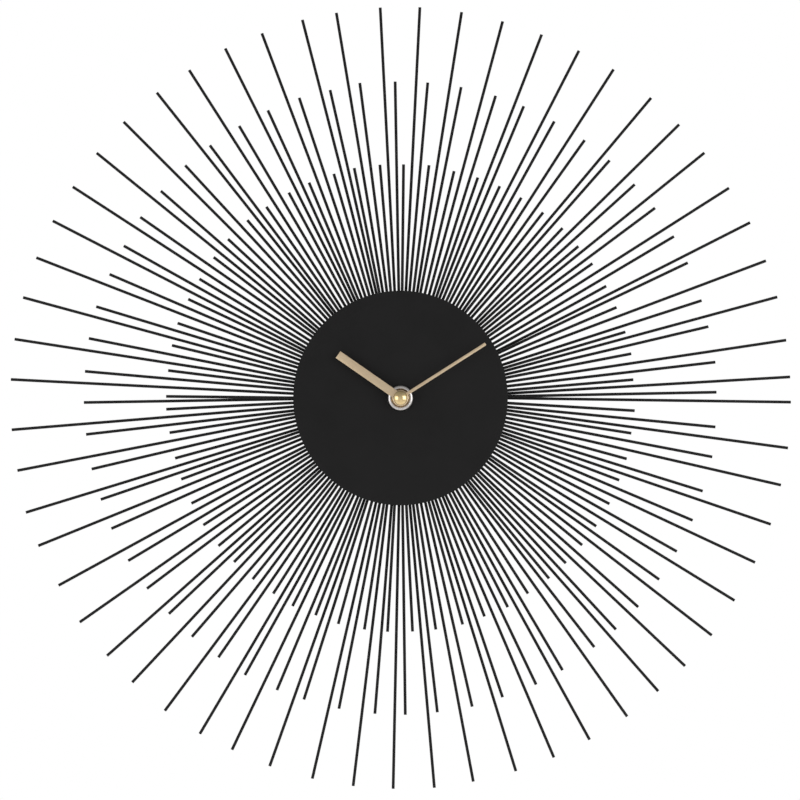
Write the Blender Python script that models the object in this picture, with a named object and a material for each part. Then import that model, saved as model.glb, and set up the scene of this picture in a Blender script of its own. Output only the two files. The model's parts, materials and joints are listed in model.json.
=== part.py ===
"""Sunburst wall clock: a flat dial, three welded wheels of rays and a battery movement.

The origin is on the arbor, in the plane of the wall. +Z is up, +X is right as seen from the front, and the
dial faces -Y. Sizes are in millimetres. A depth is a distance from the wall to the viewer, so y = -depth.
Angles are clockwise from 12 o'clock, in degrees. Touching pieces are GAP apart.
"""

import math
import random

import bmesh
import bpy

MM = 0.001
GAP = 0.3
THROUGH = 1.0  # how far a cutter runs past the faces that it cuts

# The face
RAY_TIPS = {"long": 225.0, "medium": 182.3, "short": 134.7}
RAY_COUNT = 180
RAY_ORDER_UPPER = ("short", "long", "medium")
RAY_ORDER_LOWER = ("long", "short", "medium")
RAY_RADIUS = 0.8
RAY_SIDES = 5
LEAN_SPREAD = 0.44  # degrees
SIDE_SPREAD = 0.3
TIP_SPREAD = 0.3
HALF_SHIFT = 0.67  # how far the upper and lower halves' rays are drawn in towards each other
HUB_RADIUS = 52.0
HUB_THICKNESS = 1.8
HUB_HOLE_DEPTH = 3.0
DIAL_RADIUS = 61.7
DIAL_THICKNESS = 1.0
STUD_RADIUS = 1.5
STUD_CIRCLE = 34.0
STUD_ANGLES = (0, 90, 180, 270)
STUD_END = 0.5  # what shows of a stud behind its nut
NUT_THICKNESS = 2.4
NUT_ACROSS_FLATS = 5.5

# The hands, at 10:09:35
MINUTES_PAST_TEN = 9 + 35 / 60
MINUTE_ANGLE = 6 * MINUTES_PAST_TEN
HOUR_ANGLE = 300 + MINUTES_PAST_TEN / 2
HOUR_LENGTH = 43.7
HOUR_WIDTH = 4.8
HOUR_HUB_RADIUS = 4.6
MINUTE_LENGTH = 57.9
MINUTE_WIDTH = 1.85
MINUTE_HUB_RADIUS = 3.4
HAND_THICKNESS = 0.5
HOUR_COLLAR = 0.9
MINUTE_COLLAR = 1.2
COLLAR_STEP = 0.6
HAND_SPACE = 0.7
CAP_RADIUS = 4.1
CAP_HEIGHT = 4.2
CAP_SKIRT = 0.9
FIXING_NUT_RADIUS = 7.35
FIXING_NUT_THICKNESS = 2.6
FIXING_NUT_EDGE = 0.7

# The shafts, one inside the other
SECONDS_SHAFT_RADIUS = 0.5
MINUTE_BORE = 0.8
MINUTE_TUBE_RADIUS = 1.6
HOUR_BORE = 1.85
HOUR_TUBE_RADIUS = 2.5
BUSHING_BORE = 2.75
BUSHING_RADIUS = 3.9
BUSHING_END = 0.5  # what stands out of the fixing nut
RUNNING_GAP = 0.15

# The movement
CASE_HALF = 28.0
CASE_DEPTH = 16.0
CASE_WALL = 1.5
CASE_FRONT_WALL = 1.0
CASE_CORNER = 3.0
INNER_HALF = CASE_HALF - CASE_WALL
INNER_DEPTH = CASE_DEPTH - CASE_FRONT_WALL
DIVIDER_TOP = -10.4
DIVIDER_BOTTOM = -11.4
COVER_THICKNESS = 1.2
FINGER_NOTCH_RADIUS = 8.0
TAB_CENTRES = (-14.0, 14.0)
TAB_HALF_WIDTH = 2.0
TAB_THICKNESS = 0.8
HANGER_THICKNESS = 0.8
HANGER_HALF_WIDTH = 10.0
HANGER_TOP = 40.0
HANGER_SETBACK = 0.2
HANGER_HOLE = (-4.0, 4.0, 30.5, 36.5)
HANGER_NOTCH = 0.8
HANGER_NOTCHES = 4
WASHER_RADIUS = 9.0
WASHER_THICKNESS = 0.8

# The battery, an AA cell
CELL_RADIUS = 7.15
CELL_LENGTH = 49.2
CELL_TIP_RADIUS = 2.75
CELL_TIP_LENGTH = 1.3
CELL_LEFT = -25.0
CELL_Z = (DIVIDER_BOTTOM - INNER_HALF) / 2
CELL_DEPTH = 7.6
CELL_EDGE = 0.5
STRIP_DEPTHS = (9.0, 12.0)
STRIP_SLOT = 1.1
POSITIVE_STRIP = 0.4
NEGATIVE_STRIP = 0.3

# The wheels: teeth of each wheel and pinion, and where each arbor stands as (x, z)
PINION_TEETH = 6
ROTOR_TEETH = 6
FIFTH_TEETH = 30
SECONDS_TEETH = 36
THIRD_TEETH = 45
CENTRE_TEETH = 48
CANNON_TEETH = 12
MOTION_TEETH = 36
MOTION_PINION_TEETH = 8
HOUR_TEETH = 32
SETTING_TEETH = 18
CENTRE = (0.0, 0.0)
THIRD = (9.6, 3.5)
FIFTH = (-6.5, 7.2)
ROTOR = (-9.0, 14.2)
MOTION = (-8.0, 0.0)
SETTING = (-17.0, 0.0)

# A tooth, in modules above and below the pitch circle, and in half widths as parts of the pitch
ADDENDUM = 0.9
DEDENDUM = 1.25
TIP_HALF_WIDTH = 0.1
ROOT_HALF_WIDTH = 0.23

# The depth where each wheel starts
WHEEL_THICKNESS = 1.0
MOTION_THICKNESS = 0.9
FIFTH_LEVEL = 3.4
SECONDS_LEVEL = 5.4
THIRD_LEVEL = 7.4
BRIDGE_LEVEL = 9.0
CENTRE_LEVEL = 10.4
MOTION_LEVEL = 12.0
HOUR_LEVEL = 13.4
PINION_OVERHANG = 0.2
BRIDGE_THICKNESS = 0.8

# The pivots, which run in blind holes in the cover at the back and in the case at the front
PIVOT_RADIUS = 0.4
BOSS_RADIUS = 1.6
SETTING_BOSS_RADIUS = 2.0
REAR_FLOOR = 1.0
REAR_MOUTH = 2.2
FRONT_MOUTH = 13.6
FRONT_FLOOR = 14.8
MOTION_POST_RADIUS = 0.7
SETTING_SHAFT_RADIUS = 1.2
SETTING_PIVOT_RADIUS = 0.6

# The motor
STATOR_LEVEL = 6.0
STATOR_THICKNESS = 1.0
STATOR_LEFT = -21.5
STATOR_RIGHT = 5.5
STATOR_BOTTOM = 9.6
STATOR_BAR_TOP = 18.2
STATOR_LEG = 4.0
MAGNET_RADIUS = 2.4
MAGNET_LENGTH = 2.6
MAGNET_SPACE = 0.5
NOTCH_ANGLES = (60, 240)
CORE_Z = 22.2
CORE_HEIGHT = 2.4
CORE_LEVEL = 7.3
CORE_THICKNESS = 1.0
CORE_SCREW_X = (STATOR_LEFT + STATOR_LEG / 2, STATOR_RIGHT - STATOR_LEG / 2)
SCREW_RADIUS = 0.6
SCREW_HEAD_RADIUS = 1.4
SCREW_HEAD = 0.8
SCREW_END = 11.0
SCREW_BOSS_RADIUS = 1.9
BOBBIN_LENGTH = 17.0
BOBBIN_FLANGE = 1.0
BOBBIN_FLANGE_RADIUS = 3.4
BOBBIN_BARREL_RADIUS = 2.2
BOBBIN_BORE = 1.6

# The board
BOARD = (8.0, 25.5, 18.8, 25.5)
BOARD_THICKNESS = 1.0
BOARD_POSTS = ((10.5, 22.2), (23.5, 22.2))
BOARD_POST_RADIUS = 1.4
BRIDGE = (-15.0, 19.5, -9.6, 18.2)
BRIDGE_POSTS = ((-13.0, -7.6), (17.3, -7.0), (16.5, 15.5), (-13.0, 16.2))
BRIDGE_POST_RADIUS = 1.7
POST_TIP_RADIUS = 0.7
POST_TIP = 0.4
CHIP_CENTRE = (14.2, 22.2)
CRYSTAL_Z = 20.2

# The setting knob
KNOB_RADIUS = 5.1
KNOB_FLANGE_RADIUS = 6.2
KNOB_FLANGE = 0.8
KNOB_SINK = 0.2
KNOB_RIBS = 18
KNOB_RIB_HEIGHT = 0.4


# ---------------------------------------------------------------- materials

def make_material(name, colour, roughness, metallic=0.0):
    material = bpy.data.materials.new(name)
    material.use_nodes = True
    shader = material.node_tree.nodes["Principled BSDF"]
    shader.inputs["Base Color"].default_value = (*colour, 1.0)
    shader.inputs["Roughness"].default_value = roughness
    shader.inputs["Metallic"].default_value = metallic
    return material


def make_materials():
    return {
        "black_paint": make_material("black_paint", (0.016, 0.016, 0.017), 0.6),
        "hand_brass": make_material("hand_brass", (0.48, 0.37, 0.24), 0.4, 1.0),
        "polished_brass": make_material("polished_brass", (0.75, 0.56, 0.28), 0.15, 1.0),
        "nickel": make_material("nickel", (0.66, 0.64, 0.62), 0.2, 1.0),
        "steel": make_material("steel", (0.55, 0.55, 0.56), 0.35, 1.0),
        "rubber": make_material("rubber", (0.02, 0.02, 0.02), 0.9),
        "case_plastic": make_material("case_plastic", (0.02, 0.02, 0.022), 0.5),
        "wheel_plastic": make_material("wheel_plastic", (0.75, 0.74, 0.7), 0.45),
        "board": make_material("board", (0.05, 0.22, 0.09), 0.5),
        "copper": make_material("copper", (0.62, 0.26, 0.12), 0.35, 1.0),
        "cell_jacket": make_material("cell_jacket", (0.05, 0.12, 0.1), 0.35),
    }


# ---------------------------------------------------------------- solids

def mesh_object(name, points, faces):
    """A closed body from points (x, depth, z) in millimetres."""
    bm = bmesh.new()
    corners = [bm.verts.new((x * MM, -depth * MM, z * MM)) for x, depth, z in points]
    for face in faces:
        bm.faces.new([corners[i] for i in face])
    bmesh.ops.recalc_face_normals(bm, faces=bm.faces)
    mesh = bpy.data.meshes.new(name)
    bm.to_mesh(mesh)
    bm.free()
    obj = bpy.data.objects.new(name, mesh)
    bpy.context.scene.collection.objects.link(obj)
    return obj


def on_axis(along, first, second, position):
    """A point (x, depth, z): position runs along the axis, first and second across it."""
    if along == "x":
        return (position, first, second)
    if along == "z":
        return (first, second, position)
    return (first, position, second)


def prism(name, outline, low, high, along="depth"):
    """The outline, as (x, z), (depth, z) or (x, depth) points, pushed along the remaining axis."""
    count = len(outline)
    points = [on_axis(along, a, b, low) for a, b in outline]
    points += [on_axis(along, a, b, high) for a, b in outline]
    faces = [list(range(count)), list(range(count, 2 * count))]
    for i in range(count):
        j = (i + 1) % count
        faces.append((i, j, count + j, count + i))
    return mesh_object(name, points, faces)


def turned(name, profile, sides=20, along="depth", centre=(0.0, 0.0), bored=False):
    """Turns (radius, position) points round the axis, between flat ends or to a point of radius 0.

    A bored body has no ends: its last ring is joined to its first.
    """
    points = []
    rings = []
    for radius, position in profile:
        steps = sides if radius > 0 else 1
        rings.append([len(points) + i for i in range(steps)])
        for i in range(steps):
            angle = 2 * math.pi * (i + 0.5) / sides
            first = centre[0] + radius * math.cos(angle)
            second = centre[1] + radius * math.sin(angle)
            points.append(on_axis(along, first, second, position))
    pairs = list(zip(rings, rings[1:]))
    faces = []
    if bored:
        pairs.append((rings[-1], rings[0]))
    else:
        faces += [ring for ring in (rings[0], rings[-1]) if len(ring) > 1]
    for ring, following in pairs:
        for i in range(sides):
            j = (i + 1) % sides
            corners = [ring[i], ring[j], following[j % len(following)], following[i % len(following)]]
            faces.append(list(dict.fromkeys(corners)))
    return mesh_object(name, points, faces)


def tube(name, inner, outer, low, high, **place):
    return turned(name, [(inner, low), (outer, low), (outer, high), (inner, high)], bored=True, **place)


def pin(name, radius, low, high, **place):
    return turned(name, [(radius, low), (radius, high)], **place)


def block(name, x, depth, z):
    """A box from (low, high) pairs."""
    return prism(name, rectangle(*x, *z), *depth)


def combined(operation, target, tools):
    """Joins the tools to target, or cuts them from it, and removes them."""
    for tool in tools:
        modifier = target.modifiers.new("combine", "BOOLEAN")
        modifier.operation = operation
        modifier.object = tool
        graph = bpy.context.evaluated_depsgraph_get()
        plain = target.data
        target.data = bpy.data.meshes.new_from_object(target.evaluated_get(graph))
        target.modifiers.clear()
        bpy.data.meshes.remove(plain)
        bpy.data.objects.remove(tool)
    target.data.name = target.name
    return target


def joined(target, *tools):
    return combined("UNION", target, tools)


def cut(target, *tools):
    return combined("DIFFERENCE", target, tools)


def drilled(target, radius, low, high, **place):
    """Cuts a round hole through the faces of target at low and high."""
    return cut(target, pin("drill", radius, low - THROUGH, high + THROUGH, **place))


# ---------------------------------------------------------------- outlines

def rectangle(left, right, bottom, top):
    return [(left, bottom), (right, bottom), (right, top), (left, top)]


def rounded_rectangle(left, right, bottom, top, radius, steps=4):
    corners = ((right, top, 0), (left, top, 90), (left, bottom, 180), (right, bottom, 270))
    points = []
    for x, z, start in corners:
        inward_x = x - math.copysign(radius, x - (left + right) / 2)
        inward_z = z - math.copysign(radius, z - (bottom + top) / 2)
        for i in range(steps + 1):
            angle = math.radians(start + 90 * i / steps)
            points.append((inward_x + radius * math.cos(angle), inward_z + radius * math.sin(angle)))
    return points


def polygon(sides, radius, turn=0.0):
    """A regular polygon, its first corner turned clockwise from 12 by turn degrees."""
    return [clock_point(turn + 360 * i / sides, radius) for i in range(sides)]


def clock_point(angle, radius):
    """The point (x, z) at an angle clockwise from 12."""
    turn = math.radians(angle)
    return (radius * math.sin(turn), radius * math.cos(turn))


def sheet_outline(path, thickness):
    """The edge of a bent sheet whose middle runs through the points of path, square at its bends."""
    def offset(side):
        shifted = []
        for i, point in enumerate(path):
            before = path[max(i - 1, 0)]
            after = path[min(i + 1, len(path) - 1)]
            normals = []
            for start, end in ((before, point), (point, after)):
                length = math.dist(start, end)
                if length > 0:
                    normals.append(((start[1] - end[1]) / length, (end[0] - start[0]) / length))
            a = sum(normal[0] for normal in normals)
            b = sum(normal[1] for normal in normals)
            reach = side * thickness / 2 * len(normals) / (a * a + b * b)
            shifted.append((point[0] + a * reach, point[1] + b * reach))
        return shifted

    return offset(1) + offset(-1)[::-1]


def toothed_outline(teeth, module):
    """Narrow straight-sided teeth, one of them centred on 12."""
    root = module * (teeth / 2 - DEDENDUM)
    tip = module * (teeth / 2 + ADDENDUM)
    tooth = ((root, -ROOT_HALF_WIDTH), (tip, -TIP_HALF_WIDTH), (tip, TIP_HALF_WIDTH), (root, ROOT_HALF_WIDTH))
    return [clock_point(360 * (i + part) / teeth, radius) for i in range(teeth) for radius, part in tooth]


# ---------------------------------------------------------------- gearing

def pair_module(centre_a, teeth_a, centre_b, teeth_b):
    return 2 * math.dist(centre_a, centre_b) / (teeth_a + teeth_b)


def meshed_phase(teeth_a, phase_a, centre_a, teeth_b, centre_b):
    """The angle of a tooth of wheel b that puts its teeth in the gaps of wheel a."""
    towards = math.degrees(math.atan2(centre_b[0] - centre_a[0], centre_b[1] - centre_a[1]))
    return towards + 180 - (180 - teeth_a * (towards - phase_a)) / teeth_b


CENTRE_MODULE = pair_module(CENTRE, CENTRE_TEETH, THIRD, PINION_TEETH)
THIRD_MODULE = pair_module(THIRD, THIRD_TEETH, CENTRE, PINION_TEETH)
SECONDS_MODULE = pair_module(CENTRE, SECONDS_TEETH, FIFTH, PINION_TEETH)
FIFTH_MODULE = pair_module(FIFTH, FIFTH_TEETH, ROTOR, ROTOR_TEETH)
MOTION_MODULE = pair_module(CENTRE, CANNON_TEETH, MOTION, MOTION_TEETH)
HOUR_MODULE = pair_module(MOTION, MOTION_PINION_TEETH, CENTRE, HOUR_TEETH)

CENTRE_PHASE = 0.0
THIRD_PHASE = meshed_phase(CENTRE_TEETH, CENTRE_PHASE, CENTRE, PINION_TEETH, THIRD)
SECONDS_PHASE = meshed_phase(THIRD_TEETH, THIRD_PHASE, THIRD, PINION_TEETH, CENTRE)
FIFTH_PHASE = meshed_phase(SECONDS_TEETH, SECONDS_PHASE, CENTRE, PINION_TEETH, FIFTH)
ROTOR_PHASE = meshed_phase(FIFTH_TEETH, FIFTH_PHASE, FIFTH, ROTOR_TEETH, ROTOR)
MOTION_PHASE = meshed_phase(CANNON_TEETH, CENTRE_PHASE, CENTRE, MOTION_TEETH, MOTION)
HOUR_PHASE = meshed_phase(MOTION_PINION_TEETH, MOTION_PHASE, MOTION, HOUR_TEETH, CENTRE)
SETTING_PHASE = meshed_phase(MOTION_TEETH, MOTION_PHASE, MOTION, SETTING_TEETH, SETTING)


def gear(name, teeth, module, level, thickness=WHEEL_THICKNESS):
    return prism(name, toothed_outline(teeth, module), level, level + thickness)


def place(obj, centre, phase=0.0):
    """Puts the object's origin on the axis at centre, turned clockwise by phase."""
    obj.location = (centre[0] * MM, 0, centre[1] * MM)
    obj.rotation_euler.y = math.radians(phase)
    return obj


# ---------------------------------------------------------------- depths from the case to the cap

HANGER_FRONT = CASE_DEPTH + GAP + HANGER_THICKNESS
WASHER_FRONT = HANGER_FRONT + GAP + WASHER_THICKNESS
RAY_CORNER_RADIUS = RAY_RADIUS * math.sqrt(2 * math.pi / (RAY_SIDES * math.sin(2 * math.pi / RAY_SIDES)))
LAYER_PITCH = HUB_THICKNESS + GAP
HUB_BACK = {
    "long": WASHER_FRONT + GAP,
    "medium": WASHER_FRONT + GAP + LAYER_PITCH,
    "short": WASHER_FRONT + GAP + 2 * LAYER_PITCH,
}
DIAL_BACK = HUB_BACK["short"] + LAYER_PITCH
DIAL_FRONT = DIAL_BACK + DIAL_THICKNESS
FIXING_NUT_BACK = DIAL_FRONT + GAP
FIXING_NUT_FRONT = FIXING_NUT_BACK + FIXING_NUT_THICKNESS
BUSHING_FRONT = FIXING_NUT_FRONT + BUSHING_END
HOUR_COLLAR_BACK = BUSHING_FRONT + GAP
HOUR_HAND_BACK = HOUR_COLLAR_BACK + HOUR_COLLAR
HOUR_HAND_FRONT = HOUR_HAND_BACK + HAND_THICKNESS
MINUTE_COLLAR_BACK = HOUR_HAND_FRONT + HAND_SPACE
MINUTE_HAND_BACK = MINUTE_COLLAR_BACK + MINUTE_COLLAR
MINUTE_HAND_FRONT = MINUTE_HAND_BACK + HAND_THICKNESS
CAP_BACK = MINUTE_HAND_FRONT + GAP
CAP_FRONT = CAP_BACK + CAP_HEIGHT
ARBOR_FRONT = CAP_BACK + 0.5 * CAP_HEIGHT
KNOB_FLANGE_FRONT = COVER_THICKNESS + GAP + KNOB_FLANGE


# ---------------------------------------------------------------- the face

def ray_angle(number):
    return 360 / RAY_COUNT * (number + 0.5)


def ray_numbers(length):
    """The numbers of the rays of one length. The order of the lengths changes between the halves."""
    numbers = []
    for number in range(RAY_COUNT):
        order = RAY_ORDER_LOWER if 90 < ray_angle(number) < 270 else RAY_ORDER_UPPER
        if order[number % 3] == length:
            numbers.append(number)
    return numbers


def draws(seed):
    """A number for each ray, of spread 1."""
    chance = random.Random(seed)
    return [max(-2.0, min(2.0, chance.gauss(0, 1))) for _ in range(RAY_COUNT)]


def wobble(seed):
    """As draws, but each number is near its neighbours', as when the rays are set one after another."""
    own = draws(seed)
    return [(own[i - 2] + own[i - 1] + own[i]) / math.sqrt(3) for i in range(RAY_COUNT)]


def ray_lines(length):
    """Each ray of one length, as where it leaves the hub, which way it points and how far it goes."""
    leans = wobble("leans")
    sides = wobble("sides")
    tips = draws("tips")
    lines = []
    for number in ray_numbers(length):
        angle = ray_angle(number)
        turn = math.radians(angle)
        lean = math.radians(angle + LEAN_SPREAD * leans[number])
        side = SIDE_SPREAD * sides[number] + HALF_SHIFT * math.sin(turn) * math.copysign(1, math.cos(turn))
        run = RAY_TIPS[length] + TIP_SPREAD * tips[number] - HUB_RADIUS
        x, z = clock_point(angle, HUB_RADIUS)
        lines.append(((x + side * math.cos(lean), z - side * math.sin(lean)), lean, run))
    return lines


def ray_bodies(name, length):
    """The rays of one length, straight prisms that are slightly uneven, as hand-welded rods are."""
    depth = HUB_BACK[length] + HUB_THICKNESS / 2
    points = []
    faces = []
    for mouth, lean, run in ray_lines(length):
        first = len(points)
        for along in (-HUB_HOLE_DEPTH, run):
            for i in range(RAY_SIDES):
                turn = 2 * math.pi * (i + 0.5) / RAY_SIDES
                across = RAY_CORNER_RADIUS * math.cos(turn)
                x = mouth[0] + math.sin(lean) * along + math.cos(lean) * across
                z = mouth[1] + math.cos(lean) * along - math.sin(lean) * across
                points.append((x, depth + RAY_CORNER_RADIUS * math.sin(turn), z))
        faces.append([first + i for i in range(RAY_SIDES)])
        faces.append([first + RAY_SIDES + i for i in range(RAY_SIDES)])
        for i in range(RAY_SIDES):
            j = (i + 1) % RAY_SIDES
            faces.append([first + i, first + j, first + RAY_SIDES + j, first + RAY_SIDES + i])
    return mesh_object(name, points, faces)


def make_ray_wheel(length):
    """A hub disc, with one flat on its edge for each ray, and the rays brazed into it."""
    angles = [ray_angle(number) for number in ray_numbers(length)]
    following = angles[1:] + [angles[0] + 360]
    corners = [clock_point((a + b) / 2, HUB_RADIUS) for a, b in zip(angles, following)]
    back = HUB_BACK[length]
    front = back + HUB_THICKNESS
    hub = prism(f"ray_wheel_{length}", corners, back, front)
    drilled(hub, BUSHING_RADIUS + GAP, back, front)
    for angle in STUD_ANGLES:
        drilled(hub, STUD_RADIUS + GAP, back, front, sides=12, centre=clock_point(angle, STUD_CIRCLE))
    return joined(hub, ray_bodies("rays", length))


def make_dial_plate():
    plate = pin("dial_plate", DIAL_RADIUS, DIAL_BACK, DIAL_FRONT, sides=90)
    drilled(plate, BUSHING_RADIUS + GAP, DIAL_BACK, DIAL_FRONT)
    stud_back = HUB_BACK["long"] - GAP - NUT_THICKNESS - STUD_END
    stud_front = DIAL_BACK + DIAL_THICKNESS / 2
    for angle in STUD_ANGLES:
        centre = clock_point(angle, STUD_CIRCLE)
        joined(plate, pin("stud", STUD_RADIUS, stud_back, stud_front, sides=12, centre=centre))
    return plate


def make_dial_nut(number, angle):
    front = HUB_BACK["long"] - GAP
    corner = NUT_ACROSS_FLATS / 2 / math.cos(math.pi / 6)
    nut = prism(f"dial_nut_{number}", polygon(6, corner), front - NUT_THICKNESS, front)
    drilled(nut, STUD_RADIUS + GAP, front - NUT_THICKNESS, front, sides=12)
    return place(nut, clock_point(angle, STUD_CIRCLE))


def make_fixing_nut():
    edge = FIXING_NUT_EDGE
    halfway = edge * (1 - math.sqrt(0.5))
    profile = [
        (BUSHING_RADIUS + GAP, FIXING_NUT_BACK),
        (FIXING_NUT_RADIUS, FIXING_NUT_BACK),
        (FIXING_NUT_RADIUS, FIXING_NUT_FRONT - edge),
        (FIXING_NUT_RADIUS - halfway, FIXING_NUT_FRONT - halfway),
        (FIXING_NUT_RADIUS - edge, FIXING_NUT_FRONT),
        (BUSHING_RADIUS + GAP, FIXING_NUT_FRONT),
    ]
    return turned("fixing_nut", profile, sides=28, bored=True)


# ---------------------------------------------------------------- the hands

def make_hand(name, length, width, hub_radius, bore, collar_back, hand_back, angle):
    """A flat bar with a round hub and a collar behind it, which grips the hand's tube."""
    front = hand_back + HAND_THICKNESS
    bar = prism(name, rectangle(-width / 2, width / 2, 0, length), hand_back, front)
    hub = pin("hub", hub_radius, hand_back, front, sides=24)
    collar = pin("collar", hub_radius - COLLAR_STEP, collar_back, hand_back + HAND_THICKNESS / 2)
    joined(bar, hub, collar)
    drilled(bar, bore, collar_back, front)
    return place(bar, CENTRE, angle)


def make_hour_hand():
    return make_hand("hour_hand", HOUR_LENGTH, HOUR_WIDTH, HOUR_HUB_RADIUS,
                     HOUR_TUBE_RADIUS + RUNNING_GAP, HOUR_COLLAR_BACK, HOUR_HAND_BACK, HOUR_ANGLE)


def make_minute_hand():
    return make_hand("minute_hand", MINUTE_LENGTH, MINUTE_WIDTH, MINUTE_HUB_RADIUS,
                     MINUTE_TUBE_RADIUS + RUNNING_GAP, MINUTE_COLLAR_BACK, MINUTE_HAND_BACK, MINUTE_ANGLE)


def make_cap_nut():
    bore = MINUTE_TUBE_RADIUS + RUNNING_GAP
    steps = 4
    dome_height = CAP_HEIGHT - CAP_SKIRT
    profile = [(bore, ARBOR_FRONT + GAP), (bore, CAP_BACK), (CAP_RADIUS, CAP_BACK)]
    for i in range(steps):
        turn = math.pi / 2 * i / steps
        profile.append((CAP_RADIUS * math.cos(turn), CAP_BACK + CAP_SKIRT + dome_height * math.sin(turn)))
    profile.append((0, CAP_FRONT))
    return turned("cap_nut", profile)


# ---------------------------------------------------------------- the mounting

def make_bushing():
    """The threaded sleeve. It starts flush with the inner face of the case's front wall."""
    return tube("bushing", BUSHING_BORE, BUSHING_RADIUS, INNER_DEPTH, BUSHING_FRONT)


def make_rubber_washer():
    back = HANGER_FRONT + GAP
    return tube("rubber_washer", BUSHING_RADIUS + GAP, WASHER_RADIUS, back, WASHER_FRONT)


def make_hanger_bracket():
    """A sheet that lies on the case's front, bends back over its top and stands up behind it, by the wall."""
    half = HANGER_THICKNESS / 2
    front = CASE_DEPTH + GAP + half
    over = CASE_HALF + GAP + half
    upright = HANGER_SETBACK + half
    path = [(front, -WASHER_RADIUS), (front, over), (upright, over), (upright, HANGER_TOP)]
    outline = sheet_outline(path, HANGER_THICKNESS)
    bracket = prism("hanger_bracket", outline, -HANGER_HALF_WIDTH, HANGER_HALF_WIDTH, along="x")
    left, right, bottom, top = HANGER_HOLE
    pitch = (right - left) / HANGER_NOTCHES
    hole = [(left, bottom), (right, bottom), (right, top)]
    for i in range(HANGER_NOTCHES):
        hole += [(right - pitch * (i + 0.5), top - HANGER_NOTCH), (right - pitch * (i + 1), top)]
    cut(bracket, prism("nail_hole", hole, -THROUGH, HANGER_THICKNESS + THROUGH))
    drilled(bracket, BUSHING_RADIUS + GAP, CASE_DEPTH + GAP, HANGER_FRONT)
    return bracket


# ---------------------------------------------------------------- the movement's case

def cup(centre, radius, mouth, floor, wall_depth, outer=BOSS_RADIUS):
    """A boss with a blind hole for a pivot. It rises from a wall at wall_depth to its mouth."""
    profile = [(outer, wall_depth), (outer, mouth), (radius, mouth), (radius, floor)]
    return turned("cup", profile, sides=12, centre=centre)


def stepped_post(centre, radius, shoulder):
    """A post from the case's front wall. The thin pin on its end goes through the piece that it carries."""
    root = INNER_DEPTH + CASE_FRONT_WALL / 2
    end = BRIDGE_LEVEL - POST_TIP
    profile = [(radius, root), (radius, shoulder), (POST_TIP_RADIUS, shoulder), (POST_TIP_RADIUS, end)]
    return turned("post", profile, sides=10, centre=centre)


def make_movement_case():
    """A tray that is open at the back. Its divider parts the train's room from the cell's below it."""
    outline = rounded_rectangle(-CASE_HALF, CASE_HALF, -CASE_HALF, CASE_HALF, CASE_CORNER)
    case = prism("movement_case", outline, 0, CASE_DEPTH)
    inside = (-INNER_HALF, INNER_HALF)
    depths = (-THROUGH, INNER_DEPTH)
    cut(case, block("train_room", inside, depths, (DIVIDER_TOP, INNER_HALF)))
    cut(case, block("cell_room", inside, depths, (-INNER_HALF, DIVIDER_BOTTOM)))
    drilled(case, FINGER_NOTCH_RADIUS, -CASE_HALF, -INNER_HALF, along="z")
    slot_depths = (STRIP_DEPTHS[0] - GAP, STRIP_DEPTHS[1] + GAP)
    slot_heights = (DIVIDER_BOTTOM - THROUGH, DIVIDER_TOP + THROUGH)
    for slot_x in ((-INNER_HALF, -INNER_HALF + STRIP_SLOT), (INNER_HALF - STRIP_SLOT, INNER_HALF)):
        cut(case, block("contact_slot", slot_x, slot_depths, slot_heights))
    drilled(case, BUSHING_RADIUS + GAP, INNER_DEPTH, CASE_DEPTH)

    root = INNER_DEPTH + CASE_FRONT_WALL / 2
    setting_bore = SETTING_PIVOT_RADIUS + GAP
    joined(case, cup(THIRD, PIVOT_RADIUS + GAP, FRONT_MOUTH, FRONT_FLOOR, root))
    joined(case, cup(SETTING, setting_bore, FRONT_MOUTH, FRONT_FLOOR, root, outer=SETTING_BOSS_RADIUS))
    joined(case, pin("motion_post", MOTION_POST_RADIUS, MOTION_LEVEL, root, sides=12, centre=MOTION))
    for centre in BRIDGE_POSTS:
        joined(case, stepped_post(centre, BRIDGE_POST_RADIUS, BRIDGE_LEVEL + BRIDGE_THICKNESS + GAP))
    for centre in BOARD_POSTS:
        joined(case, stepped_post(centre, BOARD_POST_RADIUS, BRIDGE_LEVEL + BOARD_THICKNESS + GAP))
    mouth = CORE_LEVEL + CORE_THICKNESS + GAP
    floor = SCREW_END + GAP
    for x in CORE_SCREW_X:
        joined(case, cup((x, CORE_Z), SCREW_RADIUS + GAP, mouth, floor, root, outer=SCREW_BOSS_RADIUS))
    return case


def make_rear_cover():
    """A plate that closes the train's room, with tabs that snap inside the case's top wall and divider."""
    side = INNER_HALF - GAP
    bottom = DIVIDER_TOP + GAP
    root = COVER_THICKNESS / 2
    inset = 0.1  # keeps the tabs' faces off the plate's own
    cover = block("rear_cover", (-side, side), (0, COVER_THICKNESS), (bottom, side))
    drilled(cover, KNOB_RADIUS + GAP, 0, COVER_THICKNESS, sides=24, centre=SETTING)
    for centre in (CENTRE, THIRD, FIFTH, ROTOR):
        joined(cover, cup(centre, PIVOT_RADIUS + GAP, REAR_MOUTH, REAR_FLOOR, root))
    for x in TAB_CENTRES:
        width = (x - TAB_HALF_WIDTH, x + TAB_HALF_WIDTH)
        top_tab = block("top_tab", width, (root, 4.5), (side - inset - TAB_THICKNESS, side - inset))
        bottom_tab = block("bottom_tab", width, (root, 2.8), (bottom + inset, bottom + inset + TAB_THICKNESS))
        joined(cover, top_tab, bottom_tab)
    return cover


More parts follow.
